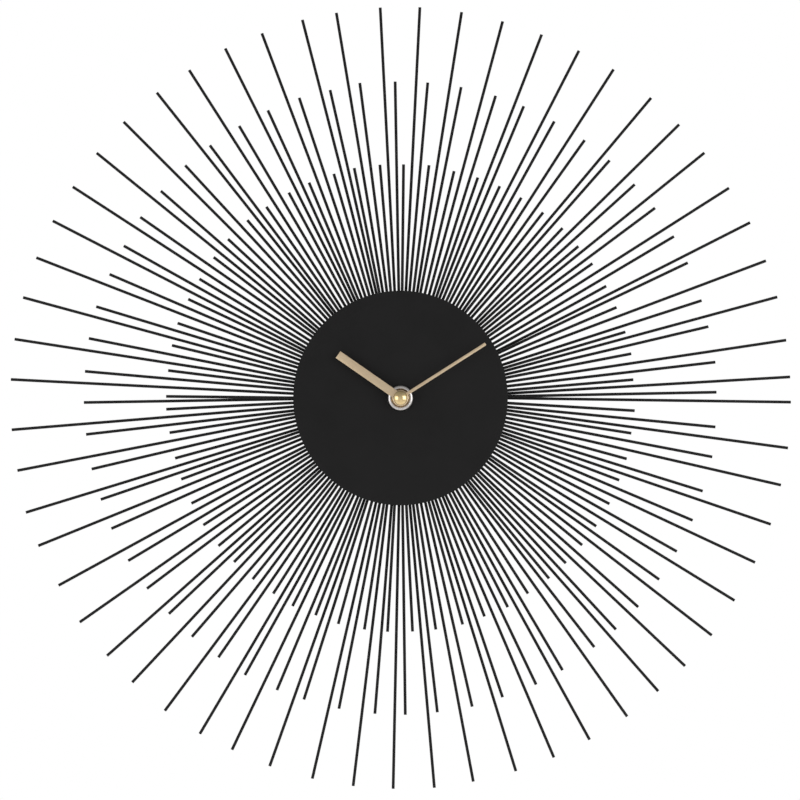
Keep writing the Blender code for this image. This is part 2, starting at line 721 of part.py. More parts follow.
def make_train_bridge():
    """The plate between the motor and the motion work. The train's arbors go through it."""
    back = BRIDGE_LEVEL
    front = back + BRIDGE_THICKNESS
    bridge = prism("train_bridge", rounded_rectangle(*BRIDGE, 2), back, front)
    third_pinion = CENTRE_MODULE * (PINION_TEETH / 2 + ADDENDUM)
    pivot = PIVOT_RADIUS + GAP
    minute_arbor = MINUTE_TUBE_RADIUS + GAP
    openings = ((CENTRE, minute_arbor), (THIRD, third_pinion + 2 * GAP), (ROTOR, pivot), (FIFTH, pivot))
    for centre, radius in openings:
        drilled(bridge, radius, back, front, sides=12, centre=centre)
    for centre in BRIDGE_POSTS:
        drilled(bridge, POST_TIP_RADIUS + GAP, back, front, sides=10, centre=centre)
    return bridge


# ---------------------------------------------------------------- power and electronics

def make_battery():
    body_right = CELL_LEFT + CELL_LENGTH
    profile = [
        (CELL_RADIUS - CELL_EDGE, CELL_LEFT),
        (CELL_RADIUS, CELL_LEFT + CELL_EDGE),
        (CELL_RADIUS, body_right - CELL_EDGE),
        (CELL_RADIUS - CELL_EDGE, body_right),
        (CELL_TIP_RADIUS, body_right),
        (CELL_TIP_RADIUS, body_right + CELL_TIP_LENGTH),
    ]
    return turned("battery", profile, sides=24, along="x", centre=(CELL_DEPTH, CELL_Z))


def make_contact_positive():
    """A straight strip behind the cell's tip, which runs up to the board."""
    x = INNER_HALF - STRIP_SLOT / 2
    path = [(x, CELL_Z - CELL_RADIUS / 2), (x, BOARD[3] - CELL_RADIUS / 2)]
    return prism("contact_positive", sheet_outline(path, POSITIVE_STRIP), *STRIP_DEPTHS)


def make_contact_negative():
    """A strip with a bowed leaf behind the cell's flat end, which runs up the wall and over to the board."""
    x = -INNER_HALF + NEGATIVE_STRIP / 2 + GAP
    top = INNER_HALF - GAP - NEGATIVE_STRIP / 2
    bow = 0.5
    leaf = [(0, -5), (bow, -2), (bow, 2), (0, 5)]
    path = [(x + out, CELL_Z + up) for out, up in leaf] + [(x, top), (BOARD[0] + 4, top)]
    return prism("contact_negative", sheet_outline(path, NEGATIVE_STRIP), *STRIP_DEPTHS)


def make_circuit_board():
    left, right, bottom, top = BOARD
    back = BRIDGE_LEVEL
    front = back + BOARD_THICKNESS
    board = block("circuit_board", (left, right), (back, front), (bottom, top))
    for centre in BOARD_POSTS:
        drilled(board, POST_TIP_RADIUS + GAP, back, front, sides=10, centre=centre)
    return board


def make_chip():
    """A bead of resin over the chip."""
    base = BRIDGE_LEVEL - GAP
    profile = [(2.0, base), (1.7, base - 0.5), (0.9, base - 0.9), (0, base - 1.0)]
    return turned("chip", profile, sides=12, centre=CHIP_CENTRE)


def make_crystal_can():
    """A small metal can that lies on the board."""
    radius = 1.0
    left = BOARD[0] + 9
    profile = [(radius - 0.2, left), (radius, left + 0.2), (radius, left + 6)]
    depth = BRIDGE_LEVEL - GAP - radius
    return turned("crystal_can", profile, sides=12, along="x", centre=(depth, CRYSTAL_Z))


# ---------------------------------------------------------------- the motor

def make_stator():
    """A plate with two legs and a hole for the magnet, with two notches that park it off centre."""
    outline = [
        (STATOR_LEFT, STATOR_BOTTOM),
        (STATOR_RIGHT, STATOR_BOTTOM),
        (STATOR_RIGHT, CORE_Z + CORE_HEIGHT / 2),
        (STATOR_RIGHT - STATOR_LEG, CORE_Z + CORE_HEIGHT / 2),
        (STATOR_RIGHT - STATOR_LEG, STATOR_BAR_TOP),
        (STATOR_LEFT + STATOR_LEG, STATOR_BAR_TOP),
        (STATOR_LEFT + STATOR_LEG, CORE_Z + CORE_HEIGHT / 2),
        (STATOR_LEFT, CORE_Z + CORE_HEIGHT / 2),
    ]
    back = STATOR_LEVEL
    front = STATOR_LEVEL + STATOR_THICKNESS
    stator = prism("stator", outline, back, front)
    drilled(stator, MAGNET_RADIUS + MAGNET_SPACE, back, front, centre=ROTOR)
    for angle in NOTCH_ANGLES:
        x, z = clock_point(angle, MAGNET_RADIUS + MAGNET_SPACE)
        drilled(stator, MAGNET_SPACE, back, front, sides=8, centre=(ROTOR[0] + x, ROTOR[1] + z))
    for x in CORE_SCREW_X:
        drilled(stator, SCREW_RADIUS + GAP, back, front, sides=10, centre=(x, CORE_Z))
    return stator


def make_coil_core():
    z = (CORE_Z - CORE_HEIGHT / 2, CORE_Z + CORE_HEIGHT / 2)
    back = CORE_LEVEL
    front = CORE_LEVEL + CORE_THICKNESS
    core = block("coil_core", (STATOR_LEFT, STATOR_RIGHT), (back, front), z)
    for x in CORE_SCREW_X:
        drilled(core, SCREW_RADIUS + GAP, back, front, sides=10, centre=(x, CORE_Z))
    return core


def coil_axis():
    return {"along": "x", "centre": (CORE_LEVEL + CORE_THICKNESS / 2, CORE_Z)}


def make_coil_bobbin():
    middle = (STATOR_LEFT + STATOR_RIGHT) / 2
    end = BOBBIN_LENGTH / 2
    inner = end - BOBBIN_FLANGE
    profile = [
        (BOBBIN_BORE, middle - end),
        (BOBBIN_FLANGE_RADIUS, middle - end),
        (BOBBIN_FLANGE_RADIUS, middle - inner),
        (BOBBIN_BARREL_RADIUS, middle - inner),
        (BOBBIN_BARREL_RADIUS, middle + inner),
        (BOBBIN_FLANGE_RADIUS, middle + inner),
        (BOBBIN_FLANGE_RADIUS, middle + end),
        (BOBBIN_BORE, middle + end),
    ]
    return turned("coil_bobbin", profile, sides=16, bored=True, **coil_axis())


def make_coil_winding():
    middle = (STATOR_LEFT + STATOR_RIGHT) / 2
    reach = BOBBIN_LENGTH / 2 - BOBBIN_FLANGE - GAP
    inner = BOBBIN_BARREL_RADIUS + GAP
    return tube("coil_winding", inner, BOBBIN_FLANGE_RADIUS - 0.1, middle - reach, middle + reach,
                sides=16, **coil_axis())


def make_core_screw(name, x):
    """A slotted screw that holds the core and the stator on a boss of the case."""
    under = STATOR_LEVEL - GAP
    top = under - SCREW_HEAD
    profile = [
        (SCREW_HEAD_RADIUS, top),
        (SCREW_HEAD_RADIUS, under),
        (SCREW_RADIUS, under),
        (SCREW_RADIUS, SCREW_END),
    ]
    screw = turned(name, profile, sides=12, centre=(x, CORE_Z))
    across = (x - 2 * SCREW_HEAD_RADIUS, x + 2 * SCREW_HEAD_RADIUS)
    slot = block("slot", across, (top - THROUGH, under - SCREW_HEAD / 2), (CORE_Z - 0.2, CORE_Z + 0.2))
    return cut(screw, slot)


# ---------------------------------------------------------------- the wheels

REAR_PIVOT = REAR_FLOOR + GAP
BRIDGE_PIVOT = BRIDGE_LEVEL + BRIDGE_THICKNESS - PINION_OVERHANG
FRONT_PIVOT = FRONT_FLOOR - GAP


def wheel_and_pinion(name, teeth, module, level, next_module, next_level):
    """A wheel whose pinion, rooted in the wheel, drives or is driven by a wheel at next_level."""
    root = level + WHEEL_THICKNESS / 2
    end = next_level + WHEEL_THICKNESS + PINION_OVERHANG
    wheel = gear(name, teeth, module, level)
    return joined(wheel, gear("pinion", PINION_TEETH, next_module, root, end - root))


def make_rotor():
    """A magnet in the stator's hole, with a pinion behind it that drives the fifth wheel."""
    middle = STATOR_LEVEL + STATOR_THICKNESS / 2
    back = middle - MAGNET_LENGTH / 2
    pinion_back = FIFTH_LEVEL - PINION_OVERHANG
    rotor = pin("rotor", MAGNET_RADIUS, back, middle + MAGNET_LENGTH / 2)
    pinion = gear("pinion", ROTOR_TEETH, FIFTH_MODULE, pinion_back, back - pinion_back - 0.1)
    joined(rotor, pinion, pin("shaft", PIVOT_RADIUS, REAR_PIVOT, BRIDGE_PIVOT, sides=8))
    return place(rotor, ROTOR, ROTOR_PHASE)


def make_fifth_wheel():
    wheel = wheel_and_pinion("fifth_wheel", FIFTH_TEETH, FIFTH_MODULE, FIFTH_LEVEL,
                             SECONDS_MODULE, SECONDS_LEVEL)
    joined(wheel, pin("shaft", PIVOT_RADIUS, REAR_PIVOT, BRIDGE_PIVOT, sides=12))
    return place(wheel, FIFTH, FIFTH_PHASE)


def make_seconds_wheel():
    """The wheel that turns once a minute. Its shaft runs inside the minute tube to the front."""
    wheel = wheel_and_pinion("seconds_wheel", SECONDS_TEETH, SECONDS_MODULE, SECONDS_LEVEL,
                             THIRD_MODULE, THIRD_LEVEL)
    root = SECONDS_LEVEL + WHEEL_THICKNESS / 2
    rear_pivot = pin("rear_pivot", PIVOT_RADIUS, REAR_PIVOT, root, sides=12)
    shaft = pin("shaft", SECONDS_SHAFT_RADIUS, root - PINION_OVERHANG, ARBOR_FRONT - 2 * GAP, sides=12)
    return place(joined(wheel, rear_pivot, shaft), CENTRE, SECONDS_PHASE)


def make_third_wheel():
    wheel = wheel_and_pinion("third_wheel", THIRD_TEETH, THIRD_MODULE, THIRD_LEVEL,
                             CENTRE_MODULE, CENTRE_LEVEL)
    joined(wheel, pin("shaft", PIVOT_RADIUS, REAR_PIVOT, FRONT_PIVOT, sides=12))
    return place(wheel, THIRD, THIRD_PHASE)


def make_centre_wheel():
    """The wheel that turns once an hour. It grips a seat on the minute arbor."""
    wheel = gear("centre_wheel", CENTRE_TEETH, CENTRE_MODULE, CENTRE_LEVEL)
    drilled(wheel, MINUTE_TUBE_RADIUS + RUNNING_GAP, CENTRE_LEVEL, CENTRE_LEVEL + WHEEL_THICKNESS)
    return place(wheel, CENTRE, CENTRE_PHASE)


def make_minute_arbor():
    """A tube that carries the centre wheel, the cannon pinion, the minute hand and the cap nut."""
    back = BRIDGE_LEVEL + PINION_OVERHANG
    cannon_back = CENTRE_LEVEL + WHEEL_THICKNESS + GAP
    cannon_front = MOTION_LEVEL + WHEEL_THICKNESS + PINION_OVERHANG
    arbor = pin("minute_arbor", MINUTE_TUBE_RADIUS, back, ARBOR_FRONT)
    joined(arbor, gear("cannon", CANNON_TEETH, MOTION_MODULE, cannon_back, cannon_front - cannon_back))
    drilled(arbor, MINUTE_BORE, back, ARBOR_FRONT, sides=16)
    return place(arbor, CENTRE, CENTRE_PHASE)


def make_motion_wheel():
    """The wheel between the minute arbor and the hour wheel. It turns on a post of the case."""
    pinion_back = MOTION_LEVEL + MOTION_THICKNESS / 2
    pinion_front = HOUR_LEVEL + WHEEL_THICKNESS
    wheel = gear("motion_wheel", MOTION_TEETH, MOTION_MODULE, MOTION_LEVEL, MOTION_THICKNESS)
    joined(wheel, gear("pinion", MOTION_PINION_TEETH, HOUR_MODULE, pinion_back, pinion_front - pinion_back))
    drilled(wheel, MOTION_POST_RADIUS + RUNNING_GAP, MOTION_LEVEL, pinion_front, sides=12)
    return place(wheel, MOTION, MOTION_PHASE)


def make_hour_wheel():
    """The wheel that turns once in twelve hours. Its tube carries the hour hand."""
    tube_front = HOUR_HAND_FRONT + GAP
    wheel = gear("hour_wheel", HOUR_TEETH, HOUR_MODULE, HOUR_LEVEL)
    joined(wheel, pin("tube", HOUR_TUBE_RADIUS, HOUR_LEVEL + WHEEL_THICKNESS / 2, tube_front))
    drilled(wheel, HOUR_BORE, HOUR_LEVEL, tube_front)
    return place(wheel, CENTRE, HOUR_PHASE)


def make_setting_arbor():
    back = KNOB_FLANGE_FRONT + GAP
    root = MOTION_LEVEL + MOTION_THICKNESS / 2
    arbor = gear("setting_arbor", SETTING_TEETH, MOTION_MODULE, MOTION_LEVEL, MOTION_THICKNESS)
    shaft = pin("shaft", SETTING_SHAFT_RADIUS, back, root, sides=16)
    pivot = pin("pivot", SETTING_PIVOT_RADIUS, root - PINION_OVERHANG, FRONT_PIVOT, sides=12)
    return place(joined(arbor, shaft, pivot), SETTING, SETTING_PHASE)


def make_setting_knob():
    """A ribbed knob, sunk in the cover, with a flange behind the cover that keeps it in."""
    low = KNOB_RADIUS - KNOB_RIB_HEIGHT
    rib = ((low, -0.3), (KNOB_RADIUS, -0.2), (KNOB_RADIUS, 0.2), (low, 0.3))
    pitch = 360 / KNOB_RIBS
    rim = [clock_point(pitch * (i + part), radius) for i in range(KNOB_RIBS) for radius, part in rib]
    flange_back = COVER_THICKNESS + GAP
    knob = prism("setting_knob", rim, KNOB_SINK, flange_back + KNOB_FLANGE / 2)
    joined(knob, pin("flange", KNOB_FLANGE_RADIUS, flange_back, KNOB_FLANGE_FRONT, sides=24))
    return place(knob, SETTING)


# ---------------------------------------------------------------- the clock

def make_parts():
    """Every part, by the name of its material."""
    return {
        "black_paint": [
            *[make_ray_wheel(length) for length in RAY_TIPS],
            make_dial_plate(),
        ],
        "hand_brass": [make_hour_hand(), make_minute_hand()],
        "polished_brass": [make_cap_nut(), make_bushing()],
        "nickel": [make_fixing_nut()],
        "steel": [
            *[make_dial_nut(i + 1, angle) for i, angle in enumerate(STUD_ANGLES)],
            make_hanger_bracket(),
            make_contact_positive(),
            make_contact_negative(),
            make_crystal_can(),
            make_stator(),
            make_coil_core(),
            make_core_screw("core_screw_left", CORE_SCREW_X[0]),
            make_core_screw("core_screw_right", CORE_SCREW_X[1]),
        ],
        "rubber": [make_rubber_washer(), make_chip()],
        "case_plastic": [
            make_movement_case(),
            make_rear_cover(),
            make_setting_knob(),
            make_coil_bobbin(),
        ],
        "wheel_plastic": [
            make_train_bridge(),
            make_rotor(),
            make_fifth_wheel(),
            make_seconds_wheel(),
            make_third_wheel(),
            make_centre_wheel(),
            make_minute_arbor(),
            make_motion_wheel(),
            make_hour_wheel(),
            make_setting_arbor(),
        ],
        "board": [make_circuit_board()],
        "copper": [make_coil_winding()],
        "cell_jacket": [make_battery()],
    }


def main():
    for obj in list(bpy.data.objects):
        bpy.data.objects.remove(obj)
    materials = make_materials()
    for material_name, parts in make_parts().items():
        for part in parts:
            part.data.materials.clear()
            part.data.materials.append(materials[material_name])
            part.data.shade_smooth()
            part.data.set_sharp_from_angle(angle=math.radians(30))


main()
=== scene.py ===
"""The looks of a sunburst wall clock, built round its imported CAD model.

Shapes are written in millimetres as points (x, depth, z). A depth is a distance from the wall to the viewer,
so y = -depth, as in the CAD model. Angles are clockwise from 12 o'clock, in degrees. Places come from the CAD
nodes where they can. The rays repeat the CAD model's own rule.
"""

import json
import math
import random
from collections import namedtuple

import bmesh
import bpy
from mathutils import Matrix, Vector


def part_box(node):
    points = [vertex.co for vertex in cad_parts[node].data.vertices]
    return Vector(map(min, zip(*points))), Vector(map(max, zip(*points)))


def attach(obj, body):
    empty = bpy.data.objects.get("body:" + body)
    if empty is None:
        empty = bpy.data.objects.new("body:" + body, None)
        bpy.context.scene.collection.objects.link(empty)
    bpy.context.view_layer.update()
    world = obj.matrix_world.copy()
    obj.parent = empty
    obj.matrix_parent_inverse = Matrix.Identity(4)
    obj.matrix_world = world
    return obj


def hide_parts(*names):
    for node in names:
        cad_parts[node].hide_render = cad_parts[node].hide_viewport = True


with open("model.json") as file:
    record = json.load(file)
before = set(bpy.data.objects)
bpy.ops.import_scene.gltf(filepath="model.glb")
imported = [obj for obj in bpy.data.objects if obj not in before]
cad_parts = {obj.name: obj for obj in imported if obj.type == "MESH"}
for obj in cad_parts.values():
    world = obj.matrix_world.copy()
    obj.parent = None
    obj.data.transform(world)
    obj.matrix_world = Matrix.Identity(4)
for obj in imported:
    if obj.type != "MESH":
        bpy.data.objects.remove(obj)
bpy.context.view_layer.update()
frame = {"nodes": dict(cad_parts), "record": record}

MM = 0.001
GAP = 0.3
RUNNING_GAP = 0.15
THROUGH = 1.0  # how far a cutter runs past the faces that it cuts

# The rays, by the CAD model's rule
RAY_TIPS = {"long": 225.0, "medium": 182.3, "short": 134.7}
RAY_COUNT = 180
RAY_ORDER_UPPER = ("short", "long", "medium")
RAY_ORDER_LOWER = ("long", "short", "medium")
WIRE_RADIUS = 0.8
PAINT = 0.05
RAY_RADIUS = WIRE_RADIUS + PAINT
RAY_SIDES = 14
ROD_ROOT = 1.0  # how far a rod runs into its hub
ROD_CHAMFER = 0.16
BEAD_RISE = (0.1, 0.18)  # how far a braze bead stands out from its rod
BEAD_RUN = (1.2, 2.2)  # how far it runs along the rod
LEAN_SPREAD = 0.44  # degrees
SIDE_SPREAD = 0.3
TIP_SPREAD = 0.3
HALF_SHIFT = 0.67  # how far the upper and lower halves' rays are drawn in towards each other
HUB_RADIUS = 52.0
STUD_CIRCLE = 34.0
STUD_RADIUS = 1.5
STUD_ANGLES = (0, 90, 180, 270)
STUD_PITCH = 0.5
DIAL_THICKNESS = 1.0
NUT_CHAMFER = 0.4
NUT_COUNTERSINK = 0.35
FIXING_NUT_ROLL = 1.55  # the radius of its rolled edge
FIXING_NUT_SINK = 0.9
BUSHING_PITCH = 0.75

# The hands, at 10:09:35
MINUTES_PAST_TEN = 9 + 35 / 60
MINUTE_ANGLE = 6 * MINUTES_PAST_TEN
HOUR_ANGLE = 300 + MINUTES_PAST_TEN / 2
HAND_THICKNESS = 0.5
EDGE_ROUNDING = 0.1
COLLAR_STEP = 0.6
HUB_SLOPE = 0.7
SUNK = 0.02  # keeps the hub's front just behind the bar's
HOUR_HAND = {"length": 43.7, "width": 4.7, "hub": 4.6, "bore": 2.65}
MINUTE_HAND = {"length": 57.9, "width": 1.75, "hub": 3.4, "bore": 1.75}
CAP_SKIRT = 2.4
BUSHING_BORE = 2.75

# The hanger
SHEET = 0.8
BEND = 1.2
HANGER_CORNER = 3.0
NAIL_HOLE = (-4.0, 4.0, 30.5, 36.5)
NAIL_NOTCH = 0.8
NAIL_NOTCHES = 4

# The movement's case
CASE_WALL = 1.5
CASE_FRONT_WALL = 1.0
CASE_CORNER = 3.0
CASE_EDGE = 0.8
ROOM_CORNER = 0.8
DIVIDER = (-11.4, -10.4)
FINGER_NOTCH_RADIUS = 8.0
NOTCH_DEPTH = -0.1  # of its axis, just clear of the case's back plane
STRIP_SLOT = 1.1
PARTING_LINE = (5.2, 5.0)  # how far behind the front it starts and ends
PARTING_DEPTH = 0.12
BOSS_MOUTH = 13.6
PIVOT_BOSS = {"outer": 1.6, "bore": 0.7}
ARBOR_BOSS = {"outer": 2.0, "bore": 0.9}
SCREW_BOSS = {"outer": 1.9, "bore": 0.9}
PIN_RADIUS = 0.7
PIN_END = 0.4  # how far a pin stands out behind the plate that it carries
BRIDGE_POST_RADIUS = 1.7
BRIDGE_POSTS = ((-13.0, -7.6), (17.3, -7.0), (16.5, 15.5), (-13.0, 16.2))
BOARD_POST_RADIUS = 1.4
BOARD_POSTS = ((10.5, 22.2), (23.5, 22.2))

# The movement's cover and knob
COVER_THICKNESS = 1.2
COVER_BOSS = {"mouth": 2.2, "floor": 1.0}
COVER_PANEL = (-6.0, 22.0, -3.0, 14.0)
PANEL_DEPTH = 0.25
ARROW_WIDTH = 0.8
ARROW_ANGLES = (300, 420)
ARROW_DEPTH = 0.3
ENGRAVING_DEPTH = 0.35
LINE_COUNT = 6
LINE_PITCH = 1.2
LINE_WIDTH = 0.5
LINE_REACH = 18.0
LINES_BOTTOM = 18.0
SIGN_SIZE = 3.0
SIGN_BAR = 0.7
SIGN_INSET = 4.0
SIGN_HEIGHT = 3.2
TAB_CENTRES = (-14.0, 14.0)
TAB_HALF_WIDTH = 2.0
TAB_THICKNESS = 0.8
TAB_INSET = 0.1
LOWER_TAB_END = 2.8
KNOB_RIM = 5.1
KNOB_RIBS = 24
KNOB_RIB_DEPTH = 0.4
KNOB_FLANGE = 0.8
GRIP = (0.55, 3.4)  # half its width and half its length

# The cell and its strips
CELL_CAP_LENGTH = 1.3
CELL_CAP_RADIUS = 2.75
SLEEVE_INSETS = (0.9, 2.2)  # of the jacket's black sleeve and copper band, from the cell's two ends
CELL_LINE = 0.66  # where the jacket's pale line starts, as a share of the cell's length
CELL_COPPER = 0.675
STRIP = 0.4
SPRING = 0.3
LEAF_HALF_LENGTH = 5
LEAF_BOW = 0.5

# The picture, which is this wide at the depth of the longest rays
PICTURE_WIDTH = 460.6
PICTURE_CENTRE = (-0.29, -1.15)
CAMERA_DISTANCE = 3500.0
SENSOR_WIDTH = 36.0
FLOOR_DROP = 1500.0
FLOOR_RADIUS = 12000.0
FLOOR_THICKNESS = 20.0

# The light. A lamp is its azimuth, elevation, distance, width, height and radiance.
HORIZON_LIGHT = 0.56
ZENITH_LIGHT = 0.24
SKY_ENERGY = 1.8
SKY_ANGLE = 60
SKY_TILT = -40
LAMPS = {
    "left": (-48, 0, 2200, 1300, 1400, 1.7),
    "right": (46, 4, 2200, 1400, 1500, 2.0),
    "over": (180, 65, 2400, 1800, 1400, 1.2),
    "back_left": (215, 30, 2600, 1200, 1600, 2.0),
    "back_right": (140, 20, 2600, 1000, 1600, 1.5),
}


# -------- reading the frame

Extent = namedtuple("Extent", "left right back front bottom top")


def extent(node):
    """A CAD node's box in millimetres, with depths for y."""
    low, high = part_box(node)
    return Extent(low.x / MM, high.x / MM, -high.y / MM, -low.y / MM, low.z / MM, high.z / MM)


def middle(node):
    """The (x, z) at the middle of a CAD node's box."""
    box = extent(node)
    return ((box.left + box.right) / 2, (box.bottom + box.top) / 2)


def reach(node, centre=(0.0, 0.0)):
    """How far a CAD node reaches from an axis that runs from back to front through centre."""
    corners = frame["nodes"][node].data.vertices
    return max(math.dist((corner.co.x / MM, corner.co.z / MM), centre) for corner in corners)


# -------- outlines

def clock_point(angle, radius, centre=(0.0, 0.0)):
    turn = math.radians(angle)
    return (centre[0] + radius * math.sin(turn), centre[1] + radius * math.cos(turn))


def arc(centre, radius, start, end, steps):
    return [clock_point(start + (end - start) * i / steps, radius, centre) for i in range(steps + 1)]


def circle(radius, centre=(0.0, 0.0), sides=48):
    return [clock_point(360 * i / sides, radius, centre) for i in range(sides)]


def rectangle(left, right, bottom, top):
    return [(left, bottom), (right, bottom), (right, top), (left, top)]


def rounded_rectangle(left, right, bottom, top, radius, steps=8):
    corners = ((right, top, 0), (right, bottom, 90), (left, bottom, 180), (left, top, 270))
    points = []
    for x, z, start in corners:
        inward_x = x - math.copysign(radius, x - (left + right) / 2)
        inward_z = z - math.copysign(radius, z - (bottom + top) / 2)
        points += arc((inward_x, inward_z), radius, start, start + 90, steps)
    return points


def turned_outline(outline, angle):
    """The outline turned clockwise round the origin."""
    turn = math.radians(angle)
    cosine, sine = math.cos(turn), math.sin(turn)
    return [(x * cosine + z * sine, z * cosine - x * sine) for x, z in outline]


def strip_outline(path, thickness):
    """The edge of a thin sheet whose middle runs through the points of path."""
    sides = ([], [])
    for i, point in enumerate(path):
        before = path[max(i - 1, 0)]
        after = path[min(i + 1, len(path) - 1)]
        length = math.dist(before, after)
        normal = ((before[1] - after[1]) / length, (after[0] - before[0]) / length)
        for side, sign in zip(sides, (0.5, -0.5)):
            side.append((point[0] + sign * thickness * normal[0], point[1] + sign * thickness * normal[1]))
    return sides[0] + sides[1][::-1]


def eased(corners, steps=5):
    """The points of a closed profile from its corners, each (radius, position, rounding)."""
    points = []
    for i, (radius, position, rounding) in enumerate(corners):
        if rounding == 0:
            points.append((radius, position))
            continue
        corner = Vector((radius, position))
        start = corner + (Vector(corners[i - 1][:2]) - corner).normalized() * rounding
        end = corner + (Vector(corners[(i + 1) % len(corners)][:2]) - corner).normalized() * rounding
        for k in range(steps + 1):
            t = k / steps
            point = start * (1 - t) ** 2 + corner * 2 * t * (1 - t) + end * t ** 2
            points.append(tuple(point))
    return points


# -------- solids

def on_axis(along, first, second, position):
    """A point (x, depth, z): position runs along the axis, first and second across it."""
    if along == "x":
        return (position, first, second)
    if along == "z":
        return (first, second, position)
    return (first, position, second)


def mesh_object(name, bm):
    """An object from points (x, depth, z) in millimetres."""
    for vertex in bm.verts:
        x, depth, z = vertex.co
        vertex.co = (x * MM, -depth * MM, z * MM)
    bm.normal_update()
    bmesh.ops.recalc_face_normals(bm, faces=bm.faces)
    mesh = bpy.data.meshes.new(name)
    bm.to_mesh(mesh)
    bm.free()
    obj = bpy.data.objects.new(name, mesh)
    bpy.context.scene.collection.objects.link(obj)
    return obj


def add_rings(bm, rings, bored=False):
    """Joins rings of points, each a full ring or a single point, one to the next."""
    rings = [[bm.verts.new(point) for point in ring] for ring in rings]
    sides = max(len(ring) for ring in rings)
    pairs = list(zip(rings, rings[1:]))
    if bored:
        pairs.append((rings[-1], rings[0]))
    else:
        for ring in (rings[0], rings[-1]):
            if len(ring) > 1:
                bm.faces.new(ring)
    for ring, following in pairs:
        for i in range(sides):
            j = (i + 1) % sides
            corners = [ring[i % len(ring)], ring[j % len(ring)],
                       following[j % len(following)], following[i % len(following)]]
            bm.faces.new(list(dict.fromkeys(corners)))


def add_turned(bm, profile, sides=96, along="depth", centre=(0.0, 0.0), bored=False):
    """Turns (radius, position) points round an axis. A bored body is a ring. Others have closed ends."""
    rings = []
    for radius, position in profile:
        steps = sides if radius > 0 else 1
        turns = [2 * math.pi * i / steps for i in range(steps)]
        ring = [(centre[0] + radius * math.cos(turn), centre[1] + radius * math.sin(turn)) for turn in turns]
        rings.append([on_axis(along, first, second, position) for first, second in ring])
    add_rings(bm, rings, bored)


def turned(name, profile, **place):
    bm = bmesh.new()
    add_turned(bm, profile, **place)
    return mesh_object(name, bm)


def add_plate(bm, outlines, low, high, along="depth"):
    """The first outline, with the others as holes in it, pushed along an axis from low to high."""
    ends = ([], [])
    for outline in outlines:
        rings = [[bm.verts.new(on_axis(along, a, b, position)) for a, b in outline]
                 for position in (low, high)]
        for i in range(len(outline)):
            bm.faces.new((rings[0][i - 1], rings[0][i], rings[1][i], rings[1][i - 1]))
        ends[0].append(rings[0])
        ends[1].append(rings[1])
    for rings in ends:
        if len(rings) == 1:
            bm.faces.new(rings[0])
            continue
        edges = [bm.edges.get((ring[i - 1], ring[i])) for ring in rings for i in range(len(ring))]
        bmesh.ops.triangle_fill(bm, edges=edges, use_beauty=True)


def plate(name, outlines, low, high, along="depth"):
    bm = bmesh.new()
    add_plate(bm, outlines, low, high, along)
    return mesh_object(name, bm)


def applied(obj):
    """Makes the object's modifiers part of its mesh."""
    graph = bpy.context.evaluated_depsgraph_get()
    plain = obj.data
    obj.data = bpy.data.meshes.new_from_object(obj.evaluated_get(graph))
    obj.modifiers.clear()
    bpy.data.meshes.remove(plain)
    return obj


def combined(operation, target, tools):
    """Runs a Boolean on target with each tool, and removes the tools."""
    for tool in tools:
        modifier = target.modifiers.new("combine", "BOOLEAN")
        modifier.operation = operation
        modifier.object = tool
        applied(target)
        bpy.data.objects.remove(tool)
    return target


def cut(target, *tools):
    return combined("DIFFERENCE", target, tools)


def softened(obj, width, segments=2, angle=50):
    """Rounds the object's sharp edges."""
    bevel = obj.modifiers.new("soften", "BEVEL")
    bevel.width = width * MM
    bevel.segments = segments
    bevel.limit_method = "ANGLE"
    bevel.angle_limit = math.radians(angle)
    return applied(obj)


def merged(target, *others):
    """Puts the other objects' bodies in target's mesh."""
    bm = bmesh.new()
    for obj in (target, *others):
        bm.from_mesh(obj.data)
    bm.to_mesh(target.data)
    bm.free()
    for obj in others:
        bpy.data.objects.remove(obj)
    return target


def piece(obj, finishes, slot, node, body="clock", sharp=35):
    """Makes obj a piece of the clock: it rides on a body, takes a slot's finish and stands for a CAD node."""
    obj.data.materials.clear()
    obj.data.materials.append(finishes[slot])
    obj.data.shade_smooth()
    obj.data.set_sharp_from_angle(angle=math.radians(sharp))
    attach(obj, body)
    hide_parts(node)


# -------- material nodes

WAVE_LENGTH = math.pi / 10  # of Blender's wave texture at a scale of 1


